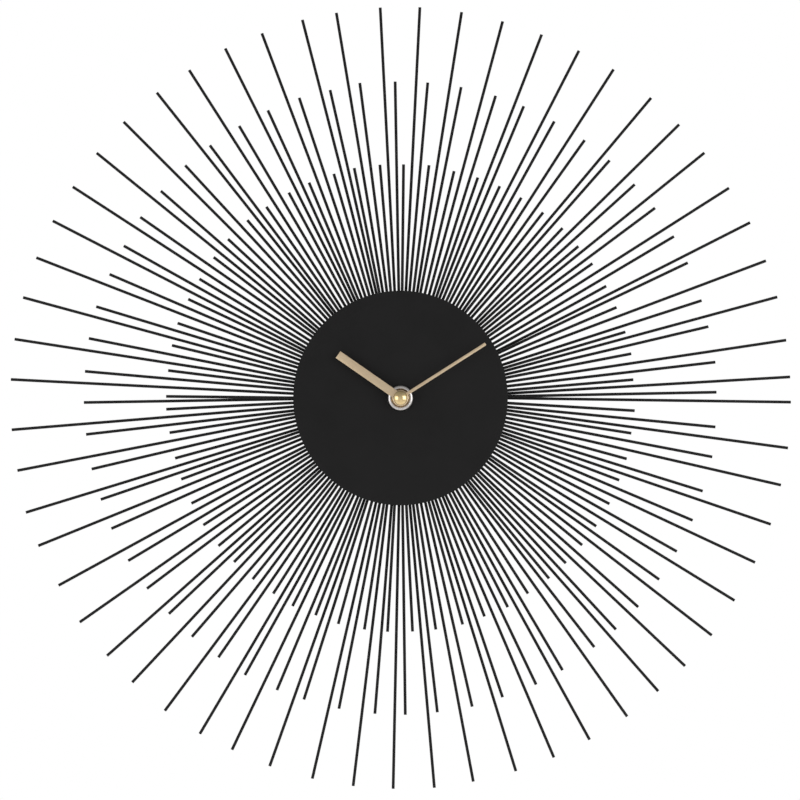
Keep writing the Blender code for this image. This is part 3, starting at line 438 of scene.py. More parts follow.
class Finish:
    """A Principled material whose patterns are laid out in millimetres of the clock's own space."""

    def __init__(self, name, colour, roughness, metallic=0.0, specular=0.5, coat=0.0):
        self.material = bpy.data.materials.new(name)
        self.material.use_nodes = True
        self.tree = self.material.node_tree
        self.shader = self.tree.nodes["Principled BSDF"]
        constants = {"Base Color": (*colour, 1.0), "Roughness": roughness, "Metallic": metallic,
                     "Specular IOR Level": specular, "Coat Weight": coat}
        for socket, value in constants.items():
            self.shader.inputs[socket].default_value = value
        self.place = self.add("ShaderNodeTexCoord").outputs["Object"]
        self.relief = None

    def add(self, kind, **inputs):
        node = self.tree.nodes.new(kind)
        for name, value in inputs.items():
            self.put(node.inputs[name.replace("_", " ")], value)
        return node

    def put(self, socket, value):
        if isinstance(value, bpy.types.NodeSocket):
            self.tree.links.new(value, socket)
        else:
            socket.default_value = value

    def space(self, stretch=(1, 1, 1), turn=0.0):
        """The clock's space in millimetres, turned back from a clockwise angle, and drawn out by stretch."""
        back = -math.radians(turn)
        level = self.add("ShaderNodeVectorRotate", Vector=self.place, Axis=(0, 1, 0), Angle=back)
        scale = [1 / (MM * value) for value in stretch]
        return self.add("ShaderNodeMapping", Vector=level.outputs[0], Scale=scale).outputs[0]

    def noise(self, size, detail=3.0, stretch=(1, 1, 1), turn=0.0):
        """Noise whose features are about size millimetres across."""
        place = self.space(stretch, turn)
        return self.add("ShaderNodeTexNoise", Vector=place, Scale=1 / size, Detail=detail).outputs[0]

    def lines(self, kind, axis, pitch, distortion):
        """Fine lines: rings round an axis, or bands along it."""
        scale = WAVE_LENGTH / pitch
        node = self.add("ShaderNodeTexWave", Vector=self.space(), Scale=scale, Distortion=distortion)
        node.wave_type = kind.upper()
        setattr(node, f"{kind}_direction", axis)
        return node.outputs[1]

    def levels(self, source, low, high, start=0.35, end=0.65):
        """The source, from start to end, as a value from low to high."""
        node = self.add("ShaderNodeMapRange", Value=source, From_Min=start, From_Max=end)
        self.put(node.inputs["To Min"], low)
        self.put(node.inputs["To Max"], high)
        return node.outputs[0]

    def steps(self, source, stops):
        """A colour that changes suddenly at each (position, colour) stop."""
        node = self.add("ShaderNodeValToRGB", Fac=source)
        ramp = node.color_ramp
        ramp.interpolation = "CONSTANT"
        while len(ramp.elements) < len(stops):
            ramp.elements.new(1.0)
        for element, (position, colour) in zip(ramp.elements, stops):
            element.position = position
            element.color = (*colour, 1.0)
        return node.outputs[0]

    def mix(self, share, first, second):
        """A colour between two, which are colours or sockets."""
        node = self.tree.nodes.new("ShaderNodeMix")
        node.data_type = "RGBA"
        self.put(node.inputs["Factor"], share)
        for socket, value in ((node.inputs[6], first), (node.inputs[7], second)):
            self.put(socket, value if isinstance(value, bpy.types.NodeSocket) else (*value, 1.0))
        return node.outputs[2]

    def colour(self, source):
        self.put(self.shader.inputs["Base Color"], source)

    def shade(self, source, first, second):
        """Colours the material from first to second by a noise."""
        self.colour(self.mix(self.levels(source, 0, 1), first, second))

    def rough(self, source, low, high):
        self.put(self.shader.inputs["Roughness"], self.levels(source, low, high))

    def bump(self, source, height):
        """Adds relief of about height millimetres."""
        node = self.add("ShaderNodeBump", Height=source, Distance=height * MM)
        if self.relief is not None:
            self.put(node.inputs["Normal"], self.relief)
        self.relief = node.outputs[0]
        self.put(self.shader.inputs["Normal"], self.relief)
        return self


# -------- finishes

def powder_coat(name, colour, roughness):
    """Baked powder paint: orange peel, a fine matt grain and a few pale specks of dust."""
    finish = Finish(name, colour, roughness, specular=0.2)
    peel = finish.noise(1.2, detail=2)
    grain = finish.noise(0.16, detail=2)
    patches = finish.noise(25, detail=4)
    specks = finish.levels(finish.noise(0.6, detail=0), 0, 0.5, 0.8, 0.84)
    paler = [1.5 * value for value in colour]
    dust = [2 * value + 0.01 for value in colour]
    finish.colour(finish.mix(specks, finish.mix(finish.levels(patches, 0, 1), colour, paler), dust))
    finish.rough(patches, roughness - 0.06, roughness + 0.06)
    return finish.bump(peel, 0.01).bump(grain, 0.005).material


def brushed_brass(name, angle):
    """Lacquered sheet brass, brushed along a hand that points at angle."""
    finish = Finish(name, (0.74, 0.58, 0.4), 0.38, 1.0)
    lines = finish.noise(0.1, detail=4, stretch=(1, 1, 60), turn=angle)
    fine = finish.noise(0.05, detail=2, stretch=(1, 1, 30), turn=angle)
    patches = finish.noise(9, detail=3)
    shades = finish.mix(finish.levels(lines, 0, 1), (0.675, 0.525, 0.35), (0.79, 0.64, 0.445))
    finish.colour(finish.mix(finish.levels(patches, 0, 0.35), shades, (0.69, 0.52, 0.345)))
    finish.rough(lines, 0.32, 0.46)
    return finish.bump(lines, 0.004).bump(fine, 0.002).material


def polished_brass():
    """Bright brass with faint turning lines, a little tarnish and hairline scratches."""
    finish = Finish("polished_brass", (0.86, 0.67, 0.36), 0.2, 1.0)
    tarnish = finish.noise(1.6, detail=4)
    hairs = finish.noise(0.25, detail=4, stretch=(8, 1, 2))
    lines = finish.lines("rings", "Y", 0.05, 0.4)
    finish.shade(tarnish, (0.9, 0.72, 0.4), (0.8, 0.58, 0.29))
    finish.rough(hairs, 0.16, 0.26)
    return finish.bump(lines, 0.0005).bump(hairs, 0.0008).material


def turned_brass():
    """Brass straight off the lathe."""
    finish = Finish("turned_brass", (0.74, 0.55, 0.28), 0.3, 1.0)
    patches = finish.noise(2.5, detail=4)
    finish.shade(patches, (0.78, 0.59, 0.31), (0.6, 0.42, 0.2))
    finish.rough(patches, 0.24, 0.4)
    return finish.bump(finish.lines("rings", "Y", 0.09, 0.8), 0.002).material


def nickel():
    """Bright nickel plate over fine turning marks."""
    finish = Finish("nickel", (0.72, 0.69, 0.67), 0.26, 1.0)
    cloud = finish.noise(2.2, detail=4)
    hairs = finish.noise(0.2, detail=4, stretch=(6, 1, 1))
    finish.shade(cloud, (0.74, 0.71, 0.7), (0.63, 0.595, 0.58))
    finish.rough(hairs, 0.22, 0.34)
    return finish.bump(finish.lines("rings", "Y", 0.08, 0.6), 0.0012).bump(cloud, 0.003).material


def zinc_steel():
    """Bright zinc plate: a faint crystal pattern, with a blue or yellow cast in places."""
    finish = Finish("zinc_steel", (0.56, 0.57, 0.58), 0.36, 1.0)
    crystals = finish.add("ShaderNodeTexVoronoi", Vector=finish.space(), Scale=0.6)
    crystal_tone = finish.add("ShaderNodeSeparateXYZ", Vector=crystals.outputs["Color"]).outputs[0]
    cast = finish.noise(7, detail=3)
    rolled = finish.noise(0.2, detail=3, stretch=(1, 1, 25))
    shades = finish.mix(finish.levels(cast, 0, 1), (0.56, 0.58, 0.61), (0.63, 0.61, 0.53))
    finish.colour(finish.mix(finish.levels(crystal_tone, 0, 0.3, 0, 1), shades, (0.4, 0.41, 0.43)))
    finish.rough(rolled, 0.3, 0.46)
    return finish.bump(rolled, 0.003).bump(cast, 0.015).material


def spring_steel():
    """Nickel-plated strip with rolling lines and a few stains."""
    finish = Finish("spring_steel", (0.62, 0.61, 0.58), 0.24, 1.0)
    rolled = finish.noise(0.12, detail=3, stretch=(1, 1, 30))
    stain = finish.noise(3, detail=4)
    finish.shade(stain, (0.68, 0.67, 0.64), (0.5, 0.48, 0.44))
    finish.rough(rolled, 0.18, 0.34)
    return finish.bump(rolled, 0.002).material


def motor_steel():
    """Bare, stamped soft iron."""
    finish = Finish("motor_steel", (0.38, 0.37, 0.36), 0.42, 1.0)
    rolled = finish.noise(0.15, detail=3, stretch=(30, 1, 1))
    stain = finish.noise(2.5, detail=5)
    finish.shade(stain, (0.42, 0.41, 0.4), (0.3, 0.28, 0.26))
    finish.rough(stain, 0.34, 0.55)
    return finish.bump(rolled, 0.004).material


def rubber():
    """Black rubber with a faint bloom."""
    finish = Finish("rubber", (0.018, 0.018, 0.018), 0.8)
    bloom = finish.noise(4, detail=4)
    finish.shade(bloom, (0.014, 0.014, 0.014), (0.034, 0.033, 0.032))
    finish.rough(bloom, 0.7, 0.92)
    return finish.bump(finish.noise(0.25, detail=4), 0.02).material


def moulded_plastic(name, colour, roughness, grain):
    """Plastic with a spark-eroded skin and faint flow marks."""
    finish = Finish(name, colour, roughness)
    flow = finish.noise(6, detail=3, stretch=(1, 1, 3))
    paler = [1.35 * value + 0.002 for value in colour]
    finish.shade(flow, colour, paler)
    finish.rough(flow, roughness - 0.07, roughness + 0.07)
    return finish.bump(finish.noise(0.2, detail=3), grain).bump(flow, 0.01).material


def board():
    """Green solder resist over copper tracks."""
    finish = Finish("board", (0.03, 0.14, 0.06), 0.35, coat=0.3)
    tracks = finish.add("ShaderNodeTexBrick", Vector=finish.space(), Scale=0.9, Mortar_Size=0.06)
    weave = finish.noise(0.3, detail=2)
    track = tracks.outputs["Fac"]
    finish.colour(finish.mix(track, (0.022, 0.12, 0.05), (0.06, 0.24, 0.09)))
    finish.rough(weave, 0.28, 0.42)
    return finish.bump(track, 0.03).bump(weave, 0.006).material


def epoxy():
    """A bead of black casting resin."""
    finish = Finish("epoxy", (0.01, 0.01, 0.011), 0.2)
    ripple = finish.noise(0.9, detail=3)
    finish.shade(ripple, (0.008, 0.008, 0.009), (0.02, 0.02, 0.022))
    finish.rough(ripple, 0.14, 0.34)
    return finish.bump(ripple, 0.05).material


def copper():
    """Enamelled wire, wound in a coil that runs left to right."""
    finish = Finish("copper", (0.55, 0.2, 0.08), 0.3, 1.0, coat=0.4)
    tone = finish.noise(1.5, detail=3)
    finish.shade(tone, (0.6, 0.23, 0.09), (0.42, 0.14, 0.05))
    finish.rough(tone, 0.24, 0.4)
    return finish.bump(finish.lines("bands", "X", 0.12, 0.15), 0.06).material


def cell_jacket():
    """The cell's plain sleeve, in bands along it: bare steel, black, a pale line, copper and bare steel."""
    box = extent("battery")
    finish = Finish("cell_jacket", (0.02, 0.02, 0.022), 0.28, coat=0.5)
    place = finish.add("ShaderNodeSeparateXYZ", Vector=finish.space()).outputs[0]
    along = finish.levels(place, 0, 1, box.left, box.right)
    sleeve_start = SLEEVE_INSETS[0] / (box.right - box.left)
    sleeve_end = 1 - SLEEVE_INSETS[1] / (box.right - box.left)
    steel = (0.6, 0.6, 0.6)
    bands = (
        (0, steel),
        (sleeve_start, (0.016, 0.017, 0.02)),
        (CELL_LINE, (0.5, 0.5, 0.48)),
        (CELL_COPPER, (0.66, 0.3, 0.12)),
        (sleeve_end, steel),
    )
    metal = ((0, (1, 1, 1)), (sleeve_start, (0, 0, 0)), (CELL_LINE, (1, 1, 1)))
    scuffs = finish.noise(0.5, detail=5, stretch=(8, 1, 1))
    worn = finish.levels(scuffs, 0, 0.06, 0.58, 0.75)
    finish.colour(finish.mix(worn, finish.steps(along, bands), (0.3, 0.3, 0.3)))
    finish.put(finish.shader.inputs["Metallic"], finish.steps(along, metal))
    finish.rough(scuffs, 0.2, 0.4)
    return finish.bump(scuffs, 0.008).material


def make_finishes():
    """Every finish, by the record's material slot. The hands' brass is made for each hand apart."""
    makers = (zinc_steel, spring_steel, motor_steel, rubber, turned_brass, polished_brass, nickel, board,
              epoxy, copper, cell_jacket)
    return {
        "dial_paint": powder_coat("dial_paint", (0.0063, 0.0061, 0.0063), 0.62),
        "ray_paint": powder_coat("ray_paint", (0.006, 0.0058, 0.006), 0.55),
        "case_plastic": moulded_plastic("case_plastic", (0.02, 0.02, 0.021), 0.5, 0.012),
        "knob_plastic": moulded_plastic("knob_plastic", (0.032, 0.032, 0.034), 0.42, 0.006),
        "train_plastic": moulded_plastic("train_plastic", (0.7, 0.69, 0.64), 0.38, 0.003),
        **{maker.__name__: maker() for maker in makers},
    }


# -------- the face

def ray_angle(number):
    return 360 / RAY_COUNT * (number + 0.5)


def ray_numbers(length):
    """The numbers of the rays of one length. The order of the lengths changes between the halves."""
    numbers = []
    for number in range(RAY_COUNT):
        order = RAY_ORDER_LOWER if 90 < ray_angle(number) < 270 else RAY_ORDER_UPPER
        if order[number % 3] == length:
            numbers.append(number)
    return numbers


def draws(seed):
    """A number for each ray, of spread 1."""
    chance = random.Random(seed)
    return [max(-2.0, min(2.0, chance.gauss(0, 1))) for _ in range(RAY_COUNT)]


def wobble(seed):
    """As draws, but each number is near its neighbours', as when the rays are set one after another."""
    own = draws(seed)
    return [(own[i - 2] + own[i - 1] + own[i]) / math.sqrt(3) for i in range(RAY_COUNT)]


def ray_lines(length):
    """Each ray of one length, as where it leaves the hub, which way it points and how far it goes."""
    leans = wobble("leans")
    sides = wobble("sides")
    tips = draws("tips")
    lines = []
    for number in ray_numbers(length):
        angle = ray_angle(number)
        turn = math.radians(angle)
        lean = math.radians(angle + LEAN_SPREAD * leans[number])
        side = SIDE_SPREAD * sides[number] + HALF_SHIFT * math.sin(turn) * math.copysign(1, math.cos(turn))
        run = RAY_TIPS[length] + TIP_SPREAD * tips[number] - HUB_RADIUS
        x, z = clock_point(angle, HUB_RADIUS)
        lines.append(((x + side * math.cos(lean), z - side * math.sin(lean)), lean, run))
    return lines


def rod_profile(tip, bead, run):
    """(radius, distance) points of a rod from inside its hub to its tip, with a braze bead at its mouth."""
    return [
        (bead - 0.2, -ROD_ROOT),
        (bead, 0.4 - ROD_ROOT),
        (bead, 0.15),
        (0.6 * bead + 0.4 * RAY_RADIUS, 0.4 * run),
        (0.15 * bead + 0.85 * RAY_RADIUS, 0.75 * run),
        (RAY_RADIUS, run),
        (RAY_RADIUS, tip - ROD_CHAMFER),
        (RAY_RADIUS - 0.05, tip - 0.05),
        (RAY_RADIUS - ROD_CHAMFER, tip),
    ]


def make_rods(length, depth):
    """The rods of one length, each with a braze bead of its own."""
    chance = random.Random(f"{length} beads")
    turns = [2 * math.pi * i / RAY_SIDES for i in range(RAY_SIDES)]
    bm = bmesh.new()
    for (x, z), lean, run in ray_lines(length):
        mouth = Vector((x, depth, z))
        outward = Vector((math.sin(lean), 0, math.cos(lean)))
        across = Vector((math.cos(lean), 0, -math.sin(lean)))
        sideways = [math.cos(turn) * across + math.sin(turn) * Vector((0, 1, 0)) for turn in turns]
        profile = rod_profile(run, RAY_RADIUS + chance.uniform(*BEAD_RISE), chance.uniform(*BEAD_RUN))
        add_rings(bm, [[mouth + outward * along + radius * side for side in sideways]
                       for radius, along in profile])
    return mesh_object("rods", bm)


def make_ray_wheel(length, finishes):
    """A hub disc with one flat on its edge for each ray, and the rods brazed to it."""
    node = f"ray_wheel_{length}"
    box = extent(node)
    middle_depth = (box.back + box.front) / 2
    angles = [ray_angle(number) for number in ray_numbers(length)]
    following = angles[1:] + [angles[0] + 360]
    rim = [clock_point((a + b) / 2, HUB_RADIUS) for a, b in zip(angles, following)]
    holes = [circle(reach("bushing") + GAP)]
    holes += [circle(STUD_RADIUS + GAP, clock_point(angle, STUD_CIRCLE), 24) for angle in STUD_ANGLES]
    hub = plate(f"rays_{length}", [rim, *holes], box.back, box.front)
    softened(hub, 0.15)
    piece(merged(hub, make_rods(length, middle_depth)), finishes, "ray_paint", node)


def thread(radius, start, end, pitch, height):
    """(radius, position) points of a thread's ridges."""
    count = round((end - start) / pitch)
    ridge = ((-height, 0.1), (0, 0.4), (0, 0.6), (-height, 0.9))
    step = (end - start) / count
    return [(radius + rise, start + step * (i + part)) for i in range(count) for rise, part in ridge]


def make_dial(finishes):
    """A flat disc with a rounded edge, and the threaded studs welded to its back."""
    box = extent("dial_plate")
    radius = reach("dial_plate")
    back = box.front - DIAL_THICKNESS
    hole = reach("bushing") + GAP
    corners = [(hole, back, 0.1), (radius, back, 0.15), (radius, box.front, 0.4), (hole, box.front, 0.15)]
    shank = thread(STUD_RADIUS, box.back, back - 0.5, STUD_PITCH, 0.15)
    weld = [(STUD_RADIUS, back - 0.4), (STUD_RADIUS + 0.25, back - 0.1), (STUD_RADIUS + 0.4, back + 0.3)]
    bm = bmesh.new()
    add_turned(bm, eased(corners), sides=256, bored=True)
    for angle in STUD_ANGLES:
        add_turned(bm, shank + weld, sides=24, centre=clock_point(angle, STUD_CIRCLE))
    piece(mesh_object("dial_disc", bm), finishes, "dial_paint", "dial_plate", sharp=50)


def make_fixing_nut(finishes):
    """A round nut whose front is a rolled ring round a sunk centre."""
    box = extent("fixing_nut")
    radius = reach("fixing_nut")
    bore = reach("bushing") + RUNNING_GAP
    middle_radius = radius - FIXING_NUT_ROLL
    middle_depth = box.front - FIXING_NUT_ROLL
    profile = [(bore, box.back), (radius - 0.15, box.back), (radius, box.back + 0.15)]
    profile += arc((middle_radius, middle_depth), FIXING_NUT_ROLL, 90, -45, 24)
    profile.append((bore, box.front - FIXING_NUT_SINK))
    nut = turned("fixing_nut_ring", profile, sides=128, bored=True)
    piece(nut, finishes, "nickel", "fixing_nut", sharp=50)


def make_bushing(finishes):
    """The movement's threaded sleeve."""
    box = extent("bushing")
    outside = thread(reach("bushing"), box.back, box.front, BUSHING_PITCH, 0.3)
    profile = [(BUSHING_BORE, box.back), *outside, (BUSHING_BORE, box.front)]
    sleeve = turned("bushing_sleeve", profile, sides=64, bored=True)
    piece(sleeve, finishes, "turned_brass", "bushing", sharp=50)


def make_washer(finishes):
    box = extent("rubber_washer")
    hole = reach("bushing") + GAP
    edge = reach("rubber_washer")
    corners = [(hole, box.back, 0.2), (edge, box.back, 0.3), (edge, box.front, 0.3), (hole, box.front, 0.2)]
    washer = turned("washer_ring", eased(corners), bored=True)
    piece(washer, finishes, "rubber", "rubber_washer")


def make_dial_nuts(finishes):
    """Hexagon nuts with chamfered corners and countersunk bores. Each has stopped at its own angle."""
    chance = random.Random("dial nuts")
    bore = STUD_RADIUS + RUNNING_GAP
    for number, angle in enumerate(STUD_ANGLES, 1):
        node = f"dial_nut_{number}"
        box = extent(node)
        centre = clock_point(angle, STUD_CIRCLE)
        corner = reach(node, centre)
        flat = corner * math.cos(math.pi / 6)
        turn = chance.uniform(0, 60)
        hexagon = [clock_point(turn + 60 * i, corner, centre) for i in range(6)]
        chamfers = [(flat, box.back), (corner, box.back + NUT_CHAMFER),
                    (corner, box.front - NUT_CHAMFER), (flat, box.front)]
        hole = [(bore + NUT_COUNTERSINK, box.back - 0.1), (bore, box.back + NUT_COUNTERSINK),
                (bore, box.front - NUT_COUNTERSINK), (bore + NUT_COUNTERSINK, box.front + 0.1)]
        nut = plate(f"{node}_hexagon", [hexagon], box.back, box.front)
        combined("INTERSECT", nut, [turned("chamfers", chamfers, sides=64, centre=centre)])
        cut(nut, turned("hole", hole, sides=32, centre=centre))
        piece(nut, finishes, "zinc_steel", node, sharp=25)


# -------- the hands

def hand_outline(length, width, hub):
    """A bar with square corners that grows from a round hub, pointing at 12."""
    joint = math.degrees(math.asin(width / 2 / hub))
    return [(-width / 2, length), (width / 2, length), *arc((0, 0), hub, joint, 360 - joint, 72)]


def make_hand(node, body, angle, length, width, hub, bore):
    """A stamped bar with rounded edges, and a hub that slopes at its edge and has a collar behind it."""
    box = extent(node)
    back = box.front - HAND_THICKNESS
    outline = turned_outline(hand_outline(length, width, hub - HUB_SLOPE), angle)
    bar = softened(plate(f"{node}_bar", [outline, circle(bore)], back, box.front), EDGE_ROUNDING, 3, 40)
    outside = hub - COLLAR_STEP
    corners = [
        (bore, box.back, EDGE_ROUNDING),
        (outside, box.back, 0.15),
        (outside, back, 0),
        (hub, back, EDGE_ROUNDING),
        (hub, back + 0.15, EDGE_ROUNDING),
        (hub - HUB_SLOPE, box.front - SUNK, 0.2),
        (bore, box.front - SUNK, 0),
    ]
    collar = turned("collar", eased(corners), sides=96, bored=True)
    finishes = {"hand_brass": brushed_brass(f"{node}_brass", angle)}
    piece(merged(bar, collar), finishes, "hand_brass", node, body)


def make_cap(finishes):
    """A blind dome nut with a short straight skirt, hollow where the arbor goes in."""
    box = extent("cap_nut")
    radius = reach("cap_nut")
    bore = MINUTE_HAND["bore"]
    dome_base = box.back + CAP_SKIRT
    floor = extent("minute_arbor").front + GAP
    steps = 20
    profile = [
        (0, floor),
        (bore, floor),
        (bore, box.back),
        (radius - 0.25, box.back),
        (radius - 0.07, box.back + 0.07),
        (radius, box.back + 0.25),
        (radius, dome_base - 0.1),
    ]
    rise = box.front - dome_base
    ball = (radius ** 2 + rise ** 2) / (2 * rise)
    widest = math.asin(radius / ball)
    for i in range(1, steps):
        turn = widest * (1 - i / steps)
        profile.append((ball * math.sin(turn), box.front - ball * (1 - math.cos(turn))))
    profile.append((0, box.front))
    piece(turned("cap_dome", profile), finishes, "polished_brass", "cap_nut", "minute_work", sharp=50)


# -------- the hanger

def nail_hole():
    """A hole with a toothed upper edge, so that the nail finds a level place."""
    left, right, bottom, top = NAIL_HOLE
    pitch = (right - left) / NAIL_NOTCHES
    hole = [*arc((right - 1, bottom + 1), 1, 90, 180, 5), *arc((left + 1, bottom + 1), 1, 180, 270, 5)]
    for i in range(NAIL_NOTCHES):
        hole += [(left + pitch * i, top), (left + pitch * (i + 0.5), top - NAIL_NOTCH)]
    return hole + [(right, top)]


def make_hanger(finishes):
    """A zinc-plated sheet that lies on the case's front, bends over its top and stands up by the wall."""
    box = extent("hanger_bracket")
    front = box.front - SHEET / 2
    upright = box.back + SHEET / 2
    over = extent("movement_case").top + GAP + SHEET / 2
    path = [(front, box.bottom)]
    path += arc((front - BEND, over - BEND), BEND, 90, 0, 8)
    path += arc((upright + BEND, over + BEND), BEND, 180, 270, 8)
    path.append((upright, box.top))
    hanger = plate("hanger_sheet", [strip_outline(path, SHEET)], box.left, box.right, along="x")
    blank = rounded_rectangle(box.left, box.right, box.bottom, box.top, HANGER_CORNER)
    combined("INTERSECT", hanger, [plate("blank", [blank], -THROUGH, box.front + THROUGH)])
    cut(hanger, plate("nail_hole", [nail_hole()], -THROUGH, SHEET + THROUGH))
    hole = circle(reach("bushing") + GAP)
    cut(hanger, plate("bushing_hole", [hole], box.front - 2 * SHEET, box.front + THROUGH))
    softened(hanger, 0.12)
    piece(hanger, finishes, "zinc_steel", "hanger_bracket", sharp=30)


# -------- the movement's shell

def add_boss(bm, centre, outer, bore, mouth, floor, root):
    """A boss with a blind hole, from a wall at root to its mouth."""
    corners = [(outer + 0.4, root), (outer, mouth + 0.4), (outer, mouth),
               (bore, mouth), (bore, floor), (0, floor)]
    add_turned(bm, corners, sides=24, centre=centre)


def add_post(bm, centre, radius, node, root):
    """A post that carries a plate on its shoulder, with a thin pin that goes through the plate."""
    carried = extent(node)
    shoulder = carried.front + GAP
    end = carried.back - PIN_END
    profile = [(radius + 0.3, root), (radius, shoulder + 0.5), (radius, shoulder),
               (PIN_RADIUS, shoulder), (PIN_RADIUS, end + 0.1), (PIN_RADIUS - 0.1, end)]
    add_turned(bm, profile, sides=24, centre=centre)


def make_case_inside(box):
    """The bosses and posts on the inner face of the case's front wall."""
    root = box.front - CASE_FRONT_WALL / 2
    floor = extent("third_wheel").front + GAP
    bm = bmesh.new()
    add_boss(bm, middle("third_wheel"), **PIVOT_BOSS, mouth=BOSS_MOUTH, floor=floor, root=root)
    add_boss(bm, middle("setting_arbor"), **ARBOR_BOSS, mouth=BOSS_MOUTH, floor=floor, root=root)
    mouth = extent("coil_core").front + GAP
    for name in ("core_screw_left", "core_screw_right"):
        add_boss(bm, middle(name), **SCREW_BOSS, mouth=mouth, floor=extent(name).front + GAP, root=root)
    end = extent("motion_wheel").back
    pin = [(PIN_RADIUS - 0.1, end), (PIN_RADIUS, end + 0.1), (PIN_RADIUS, root)]
    add_turned(bm, pin, sides=24, centre=middle("motion_wheel"))
    for centre in BRIDGE_POSTS:
        add_post(bm, centre, BRIDGE_POST_RADIUS, "train_bridge", root)
    for centre in BOARD_POSTS:
        add_post(bm, centre, BOARD_POST_RADIUS, "circuit_board", root)
    return mesh_object("case_inside", bm)


def make_case(finishes):
    """A moulded tray with two rooms, a finger notch for the cell and a parting line round its sides."""
    box = extent("movement_case")
    half = box.right
    inner = half - CASE_WALL
    floor = box.front - CASE_FRONT_WALL
    strips = extent("contact_positive")
    outline = rounded_rectangle(-half, half, -half, half, CASE_CORNER)
    case = softened(plate("case_tray", [outline], box.back, box.front), CASE_EDGE, segments=4, angle=60)
    for bottom, top in ((-inner, DIVIDER[0]), (DIVIDER[1], inner)):
        room = rounded_rectangle(-inner, inner, bottom, top, ROOM_CORNER, steps=4)
        cut(case, plate("room", [room], -THROUGH, floor))
    notch = [(FINGER_NOTCH_RADIUS, -half - THROUGH), (FINGER_NOTCH_RADIUS, -inner + THROUGH)]
    cut(case, turned("finger_notch", notch, sides=64, along="z", centre=(0.0, NOTCH_DEPTH)))
    slot_depths = (strips.back - GAP, strips.front + GAP)
    slot_heights = (DIVIDER[0] - THROUGH, DIVIDER[1] + THROUGH)
    for sides in ((-inner, -inner + STRIP_SLOT), (inner - STRIP_SLOT, inner)):
        cut(case, plate("contact_slot", [rectangle(*sides, *slot_heights)], *slot_depths))
    hole = circle(reach("bushing") + GAP)
    cut(case, plate("bushing_hole", [hole], floor - THROUGH, box.front + THROUGH))
    outside = half + THROUGH
    inside = half - PARTING_DEPTH
    line = [rounded_rectangle(-outside, outside, -outside, outside, CASE_CORNER + THROUGH),
            rounded_rectangle(-inside, inside, -inside, inside, CASE_CORNER - PARTING_DEPTH)]
    cut(case, plate("parting_line", line, *[box.front - behind for behind in PARTING_LINE]))
    merged(case, make_case_inside(box))
    piece(case, finishes, "case_plastic", "movement_case", sharp=30)


def arrow_outline(centre, radius, width, start, end):
    """A curved arrow round centre, from start to its point at end."""
    neck = end - 14
    outer = arc(centre, radius + width / 2, start, neck, 24)
    inner = arc(centre, radius - width / 2, neck, start, 24)
    barb = 1.3 * width
    tip = [(neck, radius + barb), (end, radius), (neck, radius - barb)]
    return outer + [clock_point(angle, distance, centre) for angle, distance in tip] + inner


def plus_outline(centre, size, bar):
    """A plus sign's outline."""
    x, z = centre
    far, near = size / 2, bar / 2
    corner = [(near, far), (near, near), (far, near)]
    points = []
    for side, up, order in ((1, 1, 1), (1, -1, -1), (-1, -1, 1), (-1, 1, -1)):
        points += [(x + side * a, z + up * b) for a, b in corner[::order]]
    return points


def engrave(obj, outline, depth):
    """Sinks an outline into a plate's back face, which lies in the plane of the wall."""
    cut(obj, plate("engraving", [outline], -THROUGH, depth))


def engrave_cover(cover, box, knob):
    """A blank panel, an arrow round the knob, a row of grip lines, and the cell's plus and minus."""
    engrave(cover, rounded_rectangle(*COVER_PANEL, 1.5), PANEL_DEPTH)
    engrave(cover, arrow_outline(knob, KNOB_RIM + 2, ARROW_WIDTH, *ARROW_ANGLES), ARROW_DEPTH)
    for i in range(LINE_COUNT):
        z = LINES_BOTTOM + LINE_PITCH * i
        line = rounded_rectangle(-LINE_REACH, LINE_REACH, z, z + LINE_WIDTH, 0.2, steps=3)
        engrave(cover, line, ENGRAVING_DEPTH)
    z = box.bottom + SIGN_HEIGHT
    engrave(cover, plus_outline((box.right - SIGN_INSET, z), SIGN_SIZE, SIGN_BAR), ENGRAVING_DEPTH)
    x = box.left + SIGN_INSET
    minus = rectangle(x - SIGN_SIZE / 2, x + SIGN_SIZE / 2, z - SIGN_BAR / 2, z + SIGN_BAR / 2)
    engrave(cover, minus, ENGRAVING_DEPTH)


def make_cover_inside(box):
    """The pivots' bosses, and the tabs that hold the cover in the case."""
    root = COVER_THICKNESS / 2
    lower_edge = box.bottom + TAB_INSET
    upper_edge = box.top - TAB_INSET
    bm = bmesh.new()
    for name in ("third_wheel", "fifth_wheel", "rotor", "centre_wheel"):
        add_boss(bm, middle(name), **PIVOT_BOSS, **COVER_BOSS, root=root)
    for x in TAB_CENTRES:
        sides = (x - TAB_HALF_WIDTH, x + TAB_HALF_WIDTH)
        add_plate(bm, [rectangle(*sides, upper_edge - TAB_THICKNESS, upper_edge)], root, box.front)
        add_plate(bm, [rectangle(*sides, lower_edge, lower_edge + TAB_THICKNESS)], root, LOWER_TAB_END)
    return mesh_object("cover_inside", bm)


def make_cover(finishes):
    """The cover of the train's room."""
    box = extent("rear_cover")
    knob = middle("setting_knob")
    outline = rounded_rectangle(box.left, box.right, box.bottom, box.top, ROOM_CORNER, steps=4)
    cover = plate("cover_plate", [outline, circle(KNOB_RIM + GAP, knob, 64)], box.back, COVER_THICKNESS)
    softened(cover, 0.25)
    engrave_cover(cover, box, knob)
    merged(cover, make_cover_inside(box))
    piece(cover, finishes, "case_plastic", "rear_cover", sharp=30)


def knob_outline(centre):
    """A circle with ribs, drawn with eight points to a rib."""
    steps = 8 * KNOB_RIBS
    points = []
    for i in range(steps):
        rise = (0.5 + 0.5 * math.cos(2 * math.pi * i * KNOB_RIBS / steps)) ** 0.6
        points.append(clock_point(360 * i / steps, KNOB_RIM - KNOB_RIB_DEPTH * (1 - rise), centre))
    return points


